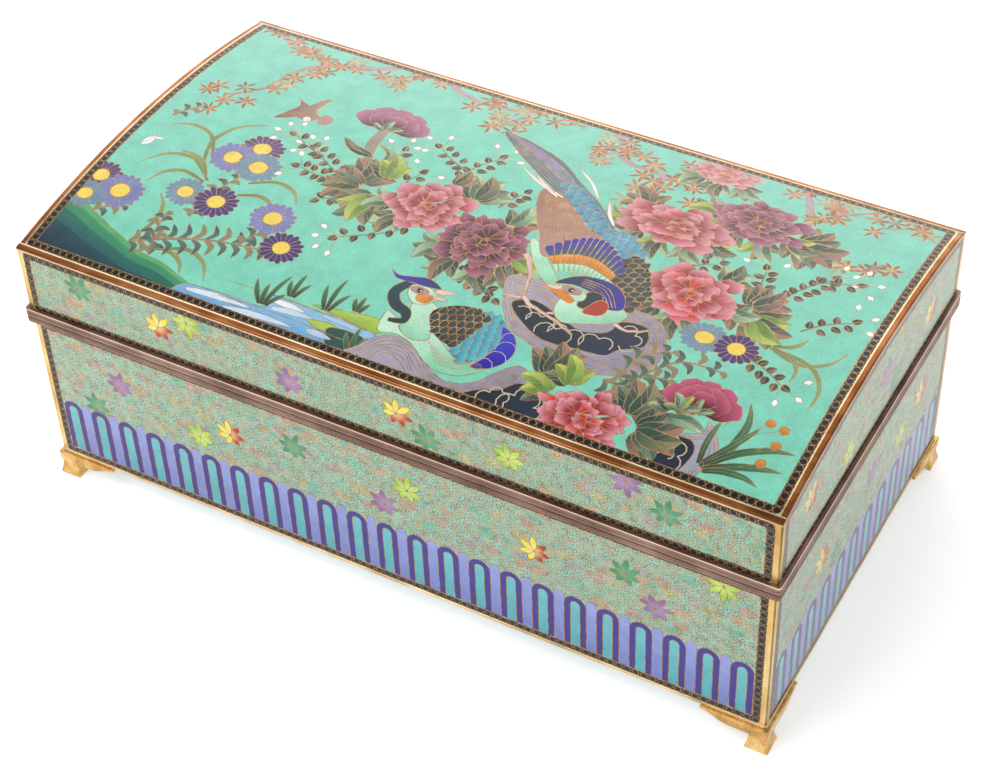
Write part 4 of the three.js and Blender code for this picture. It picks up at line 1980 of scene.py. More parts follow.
    @staticmethod
    def middle_garden() -> list[Any]:
        """Return the peonies left of the birds, with their leaves and twigs."""
        sprigs = (
            (-55-2j, -74+8j, 4, 4), (-70+6j, -85+12j, 2, 4), (-60-4j, -74-3j, 3, 2),
            (-45+10j, -46+21j, 2, 3), (-36+6j, -34+12j, 1, 2), (-22+14j, -14+34j, 4, 3),
            (-20+22j, -35+30j, 3, 3), (-20-12j, -42-29j, 4, 4), (0+8j, 4+19j, 3, 0),
            (-4-24j, 16-31j, 4, 0), (12-28j, 20-33j, 2, 0), (-52-10j, -58-15j, 2, 0),
        )
        return [
            Plume(-59+34j, -50+2j, -0.1, 5.5, Shade("#a48c84", "#7c9070")),
            *(Sprig(*sprig) for sprig in sprigs),
            Leaf(-54+14j, -70+20j, 4.4, PINE), Leaf(-49+10j, -57+22j, 3.6, SAGE, -0.3),
            LeafFan(-50-3j, 100, 130, 18, BROWNS, 7), LeafFan(-47-3j, 200, 120, 18, BROWNS, 7),
            LeafFan(-41-4j, 250, 110, 20, (OLIVE, LIME, PINE, LIME), 6),
            LeafFan(-43+3j, 105, 80, 17, LIMES, 5),
            LeafFan(-9+6j, 95, 120, 19, SAGES, 7), LeafFan(-20+11j, 75, 60, 13, BROWNS, 4),
            PeonyCup(-59+31j, 15.5, PetalGlaze.MAUVE, 90),
            Bush(Peony(-22.5-1.5j, 15.5, PetalGlaze.ROSE, 0.82, 20), (200, 240), SAGES),
            Bush(Peony(4.5-10.5j, 15.5, PetalGlaze.PLUM, 0.92, 0), (215, 245, 290, 320, 345, 70),
                 (SAGE, PINE, SAGE, BROWN, PINE, BROWN, LIME), 1.05),
        ]

    @staticmethod
    def right_garden() -> list[Any]:
        """Return the peonies right of the birds, with their leaves, twigs and grasses."""
        sprigs = (
            (100+6j, 96+19j, 3, 3), (106+6j, 117+25j, 5, 4), (112+20j, 125+26j, 2, 3),
            (118-4j, 131+7j, 3, 3), (106-22j, 122-29j, 4, 3), (72+9j, 80+15j, 2, 0),
        )
        blades = (
            (112-15j, 136-7j, -0.3), (114-15j, 134-36j, 0.3), (113-15j, 124-27j, 0.3),
            (113-14j, 122-6j, -0.2),
        )
        return [
            *(Blade(*blade, 2.0) for blade in blades),
            *(Sprig(*sprig) for sprig in sprigs),
            LeafFan(46+33j, 130, 120, 15, (BROWN, OLIVE, BROWN), 5),
            LeafFan(98+38j, 5, 140, 20, BROWNS, 8), LeafFan(98-2j, 50, 130, 17, BROWNS, 8),
            LeafFan(100-4j, -30, 110, 19, (BROWN, LIME, OLIVE, LIME), 7),
            Bush(Peony(60+67j, 12.5, PetalGlaze.PINK, 0.56, 5), (225, 270, 315), SAGES, 1.1),
            Bush(Peony(83+44j, 17, PetalGlaze.MAUVE, 0.7, 15), (180, 215, 250, 290, 330),
                 (SAGE, PINE, LIME, LIME, OLIVE)),
            Bush(Peony(58+28j, 20.5, PetalGlaze.ROSE, 0.56, 35), (200, 235, 265, 300, 335),
                 (SAGE, PINE, LIME, SAGE, PINE), 0.7),
            Bush(Peony(78.5-3j, 17, PetalGlaze.CORAL, 0.78, 10), (200, 235, 270, 350, 60),
                 (SAGE, PINE, SAGE, BROWN, OLIVE), 0.9),
            Leaf(81-16j, 92-25j, 5.0, SAGE, 0.1),
            Aster(91.5-20j, 8.6, AsterGlaze.SLATE, 0.8),
            Aster(103-20.5j, 7.6, AsterGlaze.VIOLET, 0.9, 16),
        ]

    @staticmethod
    def rocks() -> list[Any]:
        """Return the pierced rock and the mound that the birds stand on."""
        roots = (
            ((20-9j, 25-15j, 28-23j, 29-29j), 2.4), ((29-28j, 34-31j, 42-33j, 52-37j), 2.0),
            ((29-29j, 25-29.5j, 22.5-30j), 1.6), ((40-32j, 44-30j, 48-31j), 1.4),
            ((62-27j, 68-28j, 74-25j), 1.6),
        )
        return [
            Patch([20-22j, 26-19j, 38-19j, 50-26j, 60-22j, 67-18j, 76-20j, 82-28j, 83-38j,
                   77-45j, 68-49j, 56-50j, 40-46j, 31-42j, 24-33j], ROCK.run(30-20j, 80-45j), 6,
                  1.15),
            Patch([27-32j, 34-28j, 44-31j, 54-34j, 62-31j, 64-25j, 73-24j, 76-32j, 69-37j,
                   66-41j, 58-42j, 44-43j, 33-38j], NIGHT.run(30-30j, 70-40j)),
            CloudLine((30-33j, 35-37j, 39-34j, 44-39j, 50-36j, 56-40j, 61-35j, 66-38j)),
            CloudLine((40-41j, 46-37j, 52-41j)), CloudLine((66-27j, 71-29j, 73-33j, 68-35j)),
            *(Branch(course, thick, 0.9, Shade("#e6ccc4", "#d0b0a8")) for course, thick in roots),
            Patch([-11-76j, -10-68j, -5-62j, 2-60.5j, 9-62.5j, 16-68j, 24-70.5j, 32-67.5j,
                   37-61j, 42-56j, 47-57j, 48-62j, 44-67j, 40-76j], ROCK.run(0-60j, 40-70j), 6,
                  1.25),
            Patch([30-76j, 34-70j, 41-67j, 46-62j, 53-62j, 58-68j, 58-76j], NIGHT.run(40-62j,
                                                                                    50-74j)),
            CloudLine((37-74j, 39-69j, 43-67.5j, 45-71j, 42-74j)),
            CloudLine((45-74j, 47-67j, 52-65j, 55-69j, 57-73j)),
        ]

    @staticmethod
    def hen() -> list[Any]:
        """Return the seated bird at the front."""
        beak = Shade("#ecc8b8")
        return [
            Patch([-9-52j, -3-54j, 5-51j, 13-56j, 20-60j, 29-61.5j, 33-62j, 27-67j, 19-68.5j,
                   12-66j, 6-62j, -1-60j, -8-61j], MINT.run(8-54j, 14-68j)),
            *(CloudLine((s, s + 3.6-1.9j, s + 8-2.6j, s + 12.4-2j), 0.22)
              for s in (-6-55j, 3-57.5j, 9-60j, 14-63j, 5-54.5j)),
            Patch([-3-46j, 3-43j, 7-46j, 8-52j, 10-58j, 4-60j, -2-57j, -1-52j],
                  MINT.run(4-44j, 4-60j)),
            CloudLine((1-53j, 4-55j, 8-54j), 0.22), CloudLine((0-49.5j, 3.4-51j, 7-50j), 0.22),
            Plumage([19-41j, 25-39.5j, 31-42j, 34-48j, 32-56j, 27-61j, 19-60j, 17-50j], -40, 3.9,
                    "#2f8cae", "#5cbcc8"),
            Patch([29.5-43j, 35-45j, 38.5-50j, 38-56j, 34-61j, 28-62.5j, 30-58j, 31.6-53j,
                   31.6-48j], Shade("#4448c8", "#241a9c").run(33-46j, 38-58j)),
            *(CloudLine(arc, 0.22) for arc in ((32-48j, 36.4-45.8j), (32-53j, 38.6-50.5j),
                                               (30.6-57.5j, 37.8-56j), (28-61.6j, 35-60j))),
            Plumage([5-46j, 11-41j, 18-39.5j, 23-42j, 22-50j, 19-57j, 12-56j, 7-52j], -20, 3.7,
                    "#1b1f1e", "#454846", 0.28),
            Streaks([10-58j, 19-61.5j, 31-60j], [16-65j, 22-66j, 33-62j], 5, 0.18),
            Neck([-3.5-37j, -8.5-39j, -11-44j, -8-48.5j, -3-50.5j, -2-54j, -7-55.5j]),
            Patch([-7-38.5j, -2-37.5j, 2-38.5j, 4-41j, 2-44.5j, -3-46j, -7-42.5j],
                  Shade("#c8ecce", "#b4e0c0")),
            Patch([-3-41.5j, 2-40.5j, 2.5-43j, 0-44.8j, -3-44j], Shade("#e89a4c", "#d8803a")),
            Patch([-17.5-34.5j, -14-36.3j, -9-35.2j, -3-33.8j, 3-36.5j, -2-37.8j, -8-38j,
                   -14-38j], Shade("#4438a8", "#2a3a58").run(-9-36j, 2-36j)),
            Eye(-3.5-40j, 3.6),
            Plume(1.5-38.4j, 8.5-36.6j, 0.0, 3.0, beak), Plume(2-41j, 7.5-40.4j, 0.0, 2.0, beak),
        ]

    @staticmethod
    def cock() -> list[Any]:
        """Return the standing bird with its long tail."""
        plumes = (
            (17+24j, -6+35j, 0.05, 1.7), (15+23.3j, 0+30j, -0.03, 1.7), (13+25j, 1+33j, 0.04, 1.2),
            (27.5+30j, 12.5+44j, -0.05, 1.7), (40+17.5j, 31.7+30.8j, 0.06, 1.9),
        )
        return [
            Patch([-22+52j, -8+50j, 7+44j, 18+35.5j, 30+27j, 42+15j, 40+9j, 25+18j, 11+27j,
                   0+34j, -11+42j], Shade("#4c8c98", "#56727c").run(28+22j, 4+38j)),
            Patch([-20+51.4j, -8+48.6j, 6+42j, 16+34.5j, 12+33j, 2+39j, -9+45.5j],
                  Shade("#6f8c9c", "#8a7cae").run(16+34j, -2+45j), 0, 1.5, 0.2),
            Streaks([22+30j, 6+42j, -15+50j], [14+26j, 1+34.4j, -13+43.6j], 8, 0.2),
            Plumage([14+30j, 19+33j, 29+26j, 40+15j, 39+10j, 26+18j], 138, 4.2, "#3a86a8",
                    "#66a8bc"),
            Plumage([40+15j, 47+16j, 55+10j, 58+4j, 53-2j, 46+7j, 41+9j], -40, 3.8, "#3f8fb2",
                    "#64b0c6"),
            Plumage([53+6j, 59+4j, 65-5j, 67-14j, 62-21j, 55-15j, 52-4j], -62, 4.0, "#20282a",
                    "#46504e", 0.26),
            Patch([42-20j, 50-17j, 60-19j, 65-22j, 62-27j, 54-31j, 46-33.5j, 41-29j],
                  MINT.run(45-22j, 52-34j)),
            *(CloudLine((s, s + 3.4-1.8j, s + 7.4-1.2j, s + 11+1.4j), 0.2)
              for s in (46-26j, 47-28.4j, 49-24j, 52-22j)),
            Patch([18-2.5j, 21-1.5j, 30-10j, 37-17j, 37-19.5j, 32-19j, 25-13j],
                  MINT.run(20-2j, 34-22j)),
            Patch([8+24.5j, 14+26.5j, 23+20.5j, 32+13j, 40+9j, 38+0j, 30-6j, 25-7.5j, 19+2j,
                   12+13j], Shade("#a27462", "#b48e80").run(10+24j, 34-2j)),
            Streaks([9.5+24.5j, 16+12j, 24-5j], [20+22j, 30+13j, 38+7j], 13, 0.22),
            FeatherFan((27.5-7j, 52.5-6j), (25-4.5j, 54-4j), (5.2, 12.4), 14, "#3f5c5c",
                       "#4134a4", True),
            FeatherFan((30.5-10j, 52-9j), (27.5-7j, 52.5-6j), (3.4, 5.2), 16, "#c87830",
                       "#f4a04a"),
            FeatherFan((33-13j, 51-11j), (30.5-10j, 52-9j), (1.6, 3.4), 12, "#8edcb8",
                       "#b4f0d0"),
            Patch([35.5-18j, 39-13j, 45-10j, 54-10j, 60-14j, 62-20j, 57-22j, 52-18j, 46-16.5j,
                   41-16.5j], Shade("#26344c", "#3c3490").run(38-15j, 58-14j)),
            Streaks([44-11.5j, 54-12.5j, 60-20j], [44-15.5j, 50-16.5j, 56-21.5j], 4, 0.3),
            Patch([48-17j, 53-16.5j, 54-21j, 51-25j, 47-24j], Shade("#26404a", "#1f3038")),
            Patch([53-19j, 57-20j, 57-25j, 52-27j, 50-25.5j], Shade("#cc4c3a", "#b04034")),
            Patch([39-17.5j, 44-17j, 48-18.5j, 48-22j, 43-23.5j, 39-21j],
                  Shade("#cdeed0", "#bfe6c8")),
            Patch([40-20j, 36-19.5j, 33-20.5j, 38-22.5j, 44-24.8j, 45.5-22.5j],
                  Shade("#f0a050", "#dc8438")),
            Plume(39.5-18.4j, 33.5-20j, 0.1, 2.2, Shade("#ecccc0")),
            Eye(42.5-18.8j, 3.9),
            *(Plume(*plume, SNOW) for plume in plumes),
        ]

    @staticmethod
    def foreground() -> list[Any]:
        """Return the flowers, leaves, rock and grass along the front edge on the right."""
        ferns = ((74-48j, 86-30j), (80-44j, 104-32j), (76-52j, 90-42j), (70-50j, 80-56j))
        blades = (
            (113-69j, 117-40j, -0.16, 3.6), (112-68j, 112-50j, 0.06, 2.6),
            (113-67j, 124-48j, -0.02, 3.0), (114-68j, 138-53.5j, 0.12, 3.4),
            (114-69j, 137-61.5j, 0.06, 3.4), (114-70j, 132-69j, 0.12, 3.0),
        )
        berries = ((113-52j, 115-47j), (122-52j, 126-45j), (123-51j, 131-46j), (126-56j, 131-52.5j),
                   (124-64j, 129.5-60.5j))
        return [
            *(Fern(root, tip, 5, 6.0, 0.2) for root, tip in ferns),
            Patch([95-62j, 100-60j, 108-57j, 108-52j, 113-56j, 116-63j, 114-70j, 110-76j,
                   96-76j], Shade("#b0a8b4", "#9ca4b4").run(104-58j, 112-72j), 2, 1.2),
            Patch([93-63j, 100-61j, 107-61j, 109-67j, 105-76j, 93-76j], NIGHT.run(98-62j,
                                                                                 106-74j)),
            CloudLine((96-70j, 98-64j, 103-63j, 105-68j, 103-74j)),
            CloudLine((99-74j, 99-69j, 102-67j, 102.5-70j)),
            *(Blade(*blade, GRASS) for blade in blades),
            *(Berry(foot, spot) for foot, spot in berries),
            LeafFan(52-58j, 75, 110, 19, BROWNS, 7), LeafFan(58-62j, 165, 100, 14, LIMES, 5),
            LeafFan(62-58j, 115, 100, 15, LIMES, 5), LeafFan(84-62j, 85, 120, 19, BROWNS, 7),
            LeafFan(86-64j, 5, 120, 20, BROWNS, 7), LeafFan(96-54j, 100, 150, 12, SAGES, 7),
            Leaf(96-52j, 110-48j, 5.0, SAGE), Leaf(95-56j, 109-57j, 5.4, SAGE),
            Peony(71-66j, 15.5, PetalGlaze.CORAL, 0.66, 25),
            PeonyCup(103-50j, 14, PetalGlaze.CRIMSON, 90),
            LeafFan(98-52j, 100, 150, 9, (SAGE, LIME, SAGE), 4),
        ]


@dataclass(frozen=True)
class Neck:
    """A bird's dark curved neck."""

    course: Sequence[complex]

    def draw(self, art: Artwork) -> None:
        """Lay the neck."""
        line = smooth(self.course, False, 5)
        art.cell(ribbon(line, 2.8, 1.6, 2.2), Shade("#24464c", "#1f3438").run(line[0], line[-1]))


@dataclass(frozen=True)
class Berry:
    """An orange berry on its stalk."""

    foot: complex
    spot: complex

    def draw(self, art: Artwork) -> None:
        """Lay the stalk, then the berry."""
        art.line([self.foot, self.spot], 0.24)
        shade = Shade("#e09448", "#c87830").run(self.spot + 1.2j, self.spot - 1.6j)
        art.cell(circle(self.spot, 1.8, 12), shade, 0.26)


# ------------------------------------------------------------------------ metalwork

Rule = Callable[[Vector, Vector], bool]


def box_of(node: str) -> tuple[Vector, Vector]:
    """Return a frame node's box in millimetres."""
    low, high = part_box(node)
    return Vector(low) / MM, Vector(high) / MM


def block(name: str, low: Sequence[float], high: Sequence[float]) -> Piece:
    """Add a cube at its size and place, and open it for shaping.

    Args:
        name: The piece's name.
        low: Its low corner in millimetres.
        high: Its high corner in millimetres.

    Returns:
        The piece, in edit mode.
    """
    a, b = Vector(low) * MM, Vector(high) * MM
    bpy.ops.object.select_all(action="DESELECT")
    bpy.ops.mesh.primitive_cube_add(size=1.0, location=(a + b) / 2, scale=b - a)
    bpy.ops.object.transform_apply(location=True, rotation=True, scale=True)
    piece = bpy.context.object
    piece.name = name
    bpy.ops.object.mode_set(mode="EDIT")
    return piece


def pick(piece: Piece, kind: str, rule: Rule) -> None:
    """Select the vertices, edges or faces that pass a rule.

    Args:
        piece: The piece in edit mode.
        kind: VERT, EDGE or FACE.
        rule: Given the part's middle in millimetres and its normal, or an edge's direction.
    """
    bpy.ops.mesh.select_mode(type=kind)
    bpy.ops.mesh.select_all(action="DESELECT")
    shape = bmesh.from_edit_mesh(piece.data)
    if kind == "VERT":
        for vertex in shape.verts:
            vertex.select_set(rule(vertex.co / MM, vertex.normal))
    elif kind == "EDGE":
        for edge in shape.edges:
            a, b = (v.co for v in edge.verts)
            edge.select_set(rule((a + b) / 2 / MM, (b - a).normalized()))
    else:
        for face in shape.faces:
            face.select_set(rule(face.calc_center_median() / MM, face.normal))
    shape.select_flush_mode()
    bmesh.update_edit_mesh(piece.data)


def near(a: float, b: float) -> bool:
    """Return whether two places in millimetres are the same."""
    return abs(a - b) < SAME_PLACE


def ease_picked(width: float, segments: int) -> None:
    """Bevel the selected edges by a width in millimetres."""
    bpy.ops.mesh.bevel(offset=width * MM, segments=segments, affect="EDGES")


def slice_at(piece: Piece, axis: int, level: float) -> None:
    """Cut round the piece at a level in millimetres along an axis."""
    bpy.ops.mesh.select_all(action="SELECT")
    spot, normal = Vector(), Vector()
    spot[axis], normal[axis] = level * MM, 1.0
    bpy.ops.mesh.bisect(plane_co=spot, plane_no=normal)


def push(x: float, y: float, z: float) -> None:
    """Move what is selected, in millimetres."""
    bpy.ops.transform.translate(value=(x * MM, y * MM, z * MM))


def extrude(x: float, y: float, z: float) -> None:
    """Extrude the selected faces, in millimetres."""
    bpy.ops.mesh.extrude_region_move(TRANSFORM_OT_translate={"value": (x * MM, y * MM, z * MM)})


def face_outwards(piece: Piece) -> None:
    """Turn every face of the piece in edit mode outwards.

    The operator can choose the wrong side, and the volume is then negative.

    Args:
        piece: The piece in edit mode.
    """
    bpy.ops.mesh.select_all(action="SELECT")
    bpy.ops.mesh.normals_make_consistent(inside=False)
    if bmesh.from_edit_mesh(piece.data).calc_volume(signed=True) < 0:
        bpy.ops.mesh.flip_normals()


def finish(piece: Piece, ease: float, *finishes: Finish, steps: int = 3) -> None:
    """Ease the edges, smooth the facets and dress the piece.

    Args:
        piece: The piece in edit mode.
        ease: The rounding of its edges, in millimetres.
        finishes: Its finishes; the faces' own material numbers choose among them.
        steps: Facets on each rounded edge.
    """
    face_outwards(piece)
    bpy.ops.object.mode_set(mode="OBJECT")
    bevel = piece.modifiers.new("eased_edges", "BEVEL")
    bevel.width, bevel.segments = ease * MM, steps
    bevel.limit_method, bevel.angle_limit = "ANGLE", math.radians(EASED_ANGLE)
    bpy.ops.object.modifier_apply(modifier=bevel.name)
    bpy.ops.object.shade_smooth_by_angle(angle=math.radians(SMOOTH_ANGLE))
    for one in finishes:
        piece.data.materials.append(one.material())


def paint_picked(piece: Piece, slot: int) -> None:
    """Give the selected faces a material number."""
    shape = bmesh.from_edit_mesh(piece.data)
    for face in shape.faces:
        if face.select:
            face.material_index = slot
    bmesh.update_edit_mesh(piece.data)


@dataclass(frozen=True)
class Rims:
    """The copper frames on either side of the joint, and the brass band under the walls.

    Attributes:
        wall: The wall sheets' thickness, in millimetres.
        corner: The radius of the frames' outer corners.
        lip: The locating lip's thickness.
        lip_gap: How far it stands in from the lid's inner face.
        lip_height: How far it rises over the joint.
        band: The base band's width.
    """

    wall: float = 2.5
    corner: float = 1.25
    lip: float = 1.25
    lip_gap: float = 0.375
    lip_height: float = 3.25
    band: float = 6.0

    def build(self) -> None:
        """Make the three frames."""
        lid = box_of("lid_front_panel")[0]
        low, high = box_of("lid_rim")
        width = lid.y - low.y + self.wall
        piece = self.frame("lid_rim_frame", low, high, width)
        self.scribe(piece, low.z + 1.5, low.z + 1.72, high.z - 0.5)
        finish(piece, 0.3, RIM_COPPER, RIM_PAINTED_HIGHLIGHT)
        claim(piece, "rim_copper", "lid_rim")

        low, high = box_of("body_rim")
        high.z -= self.lip_height
        outer = width + self.lip_gap
        piece = self.frame("body_rim_frame", low, high, outer + self.lip, outer, self.lip_height)
        self.scribe(piece, low.z + 1.2, low.z + 1.42, high.z - 0.3)
        self.scribe(piece, high.z - 0.42, high.z - 0.08, high.z, 0.7)
        finish(piece, 0.3, RIM_COPPER, RIM_PAINTED_HIGHLIGHT)
        claim(piece, "rim_copper", "body_rim")

        low, high = box_of("body_base_band")
        piece = self.frame("base_band_frame", low, high, self.band)
        finish(piece, 0.3, BAND_BRASS)
        claim(piece, "post_brass", "body_base_band")

    def frame(
        self, name: str, low: Vector, high: Vector, width: float, lip_at: float = 0.0,
        lip_height: float = 0.0
    ) -> Piece:
        """Make a frame by cutting a window through a block.

        Args:
            name: The piece's name.
            low: The block's low corner.
            high: Its high corner, without the lip.
            width: How far in the window's edge stands.
            lip_at: How far in a raised lip starts, or 0 for none.
            lip_height: How far it rises.

        Returns:
            The frame, in edit mode.
        """
        piece = block(name, low, high)
        top = high.z
        if lip_at:
            pick(piece, "FACE", lambda middle, normal: normal.z > SQUARE_ON)
            bpy.ops.mesh.inset(thickness=lip_at * MM)
            extrude(0, 0, lip_height)
            top += lip_height
        pick(piece, "FACE", lambda middle, normal: normal.z > SQUARE_ON and near(middle.z, top))
        bpy.ops.mesh.inset(thickness=(width - lip_at) * MM)
        pick(piece, "FACE", lambda middle, normal: normal.z < -SQUARE_ON)
        bpy.ops.mesh.inset(thickness=width * MM)
        pick(
            piece, "FACE",
            lambda middle, normal: abs(normal.z) > SQUARE_ON and abs(middle.x) < 1 and abs(middle.y) < 1
        )
        bpy.ops.mesh.bridge_edge_loops()
        pick(
            piece, "EDGE",
            lambda middle, way: abs(way.z) > SQUARE_ON and near(abs(middle.x), high.x)
            and near(abs(middle.y), high.y)
        )
        ease_picked(self.corner, 4)
        return piece

    def scribe(self, piece: Piece, low: float, high: float, arris: float, groove: float = 0.22) -> None:
        """Sink a fine line round the outside, and paint a highlight on the outside over the arris."""
        slice_at(piece, 2, low)
        slice_at(piece, 2, high)
        slice_at(piece, 2, arris)
        for bottom, top in ((low, high), (arris, arris + 1.0)):
            pick(
                piece, "FACE",
                lambda middle, normal: bottom < middle.z < top
                and middle.x * normal.x + middle.y * normal.y > 0.5
            )
            if bottom == low:
                bpy.ops.mesh.extrude_region_shrink_fatten(
                    TRANSFORM_OT_shrink_fatten={"value": -groove * MM}
                )
            else:
                # The faces over the arris get the lighter copper: a painted highlight.
                paint_picked(piece, 1)


@dataclass(frozen=True)
class Edging:
    """The copper moulding round the top: a rounded bar over a gilt bead.

    Attributes:
        height: Its height on the wall's face, in millimetres.
        bead: The bead's height.
        groove: The depth of the line over the bead.
        round: The rounding of the outer edge.
        fillet: The width of the rubbed line beside the enamel.
        line: The height of the line over the bead.
        stations: Cuts across the end mouldings, which follow the dome.
    """

    height: float = 1.25
    bead: float = 0.5
    groove: float = 0.25
    round: float = 0.6
    fillet: float = 0.55
    line: float = 0.16
    stations: int = 24

    def build(self) -> None:
        """Make the four mouldings."""
        dome = lid_dome()
        foot = box_of("lid_front_panel")[1].z
        for side in ("front", "back", "left", "right"):
            node = f"lid_{side}_edging"
            low, high = box_of(node)
            low.z, high.z = foot, foot + self.height
            across = 1 if side in ("front", "back") else 0
            piece = block(f"lid_{side}_moulding", low, high)
            self.mould(piece, low, high, across, -1 if side in ("front", "left") else 1)
            if across == 0:
                for k in range(1, self.stations):
                    slice_at(piece, 1, low.y + (high.y - low.y) * k / self.stations)
            finish(piece, 0.1, EDGE_COPPER, EDGE_GILT, steps=2)
            for vertex in piece.data.vertices:
                share = 1.0 if across == 0 else (vertex.co.z / MM - foot) / self.height
                vertex.co.z += (dome.level(vertex.co.y) - high.z * MM) * share
            claim(piece, "gilt_copper", node)

    def mould(self, piece: Piece, low: Vector, high: Vector, across: int, outward: int) -> None:
        """Round the outer edge, sink a line over the bead and gild the bead and fillet."""
        outer = high[across] if outward > 0 else low[across]
        inner = low[across] if outward > 0 else high[across]
        for level in (low.z + self.bead, low.z + self.bead + self.line):
            slice_at(piece, 2, level)
        slice_at(piece, across, inner + outward * self.fillet)

        def in_line(middle: Vector, normal: Vector) -> bool:
            rise = middle.z - low.z
            return normal[across] * outward > SQUARE_ON and self.bead < rise < self.bead + self.line

        pick(piece, "FACE", in_line)
        shift = [0.0, 0.0, 0.0]
        shift[across] = -outward * self.groove
        extrude(*shift)
        pick(
            piece, "EDGE",
            lambda middle, way: near(middle[across], outer) and near(middle.z, high.z)
            and abs(way[1 - across]) > SQUARE_ON
        )
        ease_picked(self.round, 5)
        pick(
            piece, "FACE",
            lambda middle, normal: middle.z < low.z + self.bead
            or (normal.z > SQUARE_ON and abs(middle[across] - inner) < self.fillet)
        )
        paint_picked(piece, 1)


@dataclass(frozen=True)
class Posts:
    """The brass posts at the corners, with painted shade on the chamfered arris.

    Attributes:
        arris: The width of the chamfer on the outer corner, in millimetres.
    """

    arris: float = 0.5

    def build(self) -> None:
        """Make the eight posts."""
        for part in ("body", "lid"):
            for corner in ("front_left", "front_right", "back_left", "back_right"):
                node = f"{part}_post_{corner}"
                low, high = box_of(node)
                piece = block(f"{part}_{corner}_post", low, high)
                x, y = (low.x, high.x)[low.x > 0], (low.y, high.y)[low.y > 0]
                pick(piece, "EDGE", lambda middle, way: near(middle.x, x) and near(middle.y, y))
                ease_picked(self.arris, 1)
                pick(
                    piece, "FACE",
                    lambda middle, normal: 0.2 < abs(normal.x) < 0.9 and 0.2 < abs(normal.y) < 0.9
                )
                # The chamfer faces get the darker brass: painted shade along the corner.
                paint_picked(piece, 1)
                finish(piece, 0.12, POST_BRASS, POST_ARRIS_PAINTED_SHADE, steps=2)
                claim(piece, "post_brass", node)


@dataclass(frozen=True)
class BracketFeet:
    """The four cast brass feet: two arms with an ogee edge, over a flared toe.

    Attributes:
        arm: Each arm's length from the corner, in millimetres.
        thick: The arms' thickness.
        drop: Their height at the corner.
        tip: Their height at the far end.
        straight: Where the lower edge starts to rise.
        toe: The toe's width under the arms.
        flare: How much wider it is near the ground.
        cove: How much narrower it is just under the arms.
        steps: Cuts along the ogee.
        toe_levels: Heights where the toe is cut for its hollow curve.
    """

    arm: float = 25.0
    thick: float = 3.0
    drop: float = 4.25
    tip: float = 1.0
    straight: float = 14.0
    toe: float = 7.5
    flare: float = 1.5
    cove: float = 1.0
    steps: int = 9
    toe_levels: tuple[float, ...] = (5.2, 3.9, 2.7, 1.7, 0.9)

    def build(self) -> None:
        """Cast one foot, then copy it to the other corners."""
        low, high = box_of("foot_back_right")
        corner = Vector((high.x - 0.5, high.y - 0.5, high.z))
        piece = block("foot_pattern", corner - Vector((self.toe, self.toe, corner.z)), corner)
        shelf = corner.z - self.drop
        slice_at(piece, 2, shelf)
        for axis in (0, 1):
            slice_at(piece, axis, corner[axis] - self.thick)
        for axis in (0, 1):
            self.arm_out(piece, corner, shelf, axis)
        self.flare_toe(piece, corner, shelf)
        finish(piece, 0.35, FOOT_BRASS)
        for side_y, name_y in ((1, "back"), (-1, "front")):
            for side_x, name_x in ((1, "right"), (-1, "left")):
                self.copy_to(piece, side_x, side_y, f"foot_{name_y}_{name_x}")
        bpy.data.objects.remove(piece)

    def arm_out(self, piece: Piece, corner: Vector, shelf: float, axis: int) -> None:
        """Draw one arm out of the toe's side, its lower edge rising in an ogee."""
        other = 1 - axis
        face_at = corner[axis] - self.toe

        def root(middle: Vector, normal: Vector) -> bool:
            return (normal[axis] < -SQUARE_ON and near(middle[axis], face_at)
                    and middle[other] > corner[other] - self.thick and middle.z > shelf)

        pick(piece, "FACE", root)
        step = [0.0, 0.0, 0.0]
        step[axis] = -(self.straight - self.toe)
        extrude(*step)
        height = self.drop
        for k in range(1, self.steps + 1):
            part = k / self.steps
            step[axis] = -(self.arm - self.straight) / self.steps
            extrude(*step)
            wanted = self.tip + (self.drop - self.tip) * (1 + math.cos(math.pi * part)) / 2
            level = corner.z - wanted
            end = corner[axis] - self.straight + step[axis] * k
            old = corner.z - height

            pick(piece, "VERT", lambda middle, normal: near(middle[axis], end) and near(middle.z, old))
            push(0, 0, level - old)
            height = wanted
            pick(
                piece, "FACE",
                lambda middle, normal: normal[axis] < -SQUARE_ON and near(middle[axis], end)
            )

    def flare_toe(self, piece: Piece, corner: Vector, shelf: float) -> None:
        """Widen the toe in a hollow curve towards the ground, and ease its sole in."""
        levels = (shelf - 0.35, *self.toe_levels)
        for level in levels:
            slice_at(piece, 2, level)
        middle = Vector((corner.x - self.toe / 2, corner.y - self.toe / 2, 0.0))
        for level in (*levels, 0.0):
            grown = (self.flare + self.cove) * (1 - level / shelf) ** 2 - self.cove
            if not level:
                grown -= self.flare / 4
            scale = 1 + grown / self.toe
            pick(piece, "VERT", lambda spot, normal: near(spot.z, level))
            bpy.ops.transform.resize(value=(scale, scale, 1.0), center_override=tuple(middle * MM))

    @staticmethod
    def copy_to(pattern: Piece, side_x: int, side_y: int, node: str) -> None:
        """Copy the foot to a corner and turn its faces out again."""
        bpy.ops.object.select_all(action="DESELECT")
        pattern.select_set(True)
        bpy.context.view_layer.objects.active = pattern
        bpy.ops.object.duplicate()
        piece = bpy.context.object
        piece.name = f"{node}_casting"
        piece.scale = (side_x, side_y, 1.0)
        bpy.ops.object.transform_apply(location=False, rotation=False, scale=True)
        if side_x * side_y < 0:
            bpy.ops.object.mode_set(mode="EDIT")
            face_outwards(piece)
            bpy.ops.object.mode_set(mode="OBJECT")
        claim(piece, "foot_brass", node)


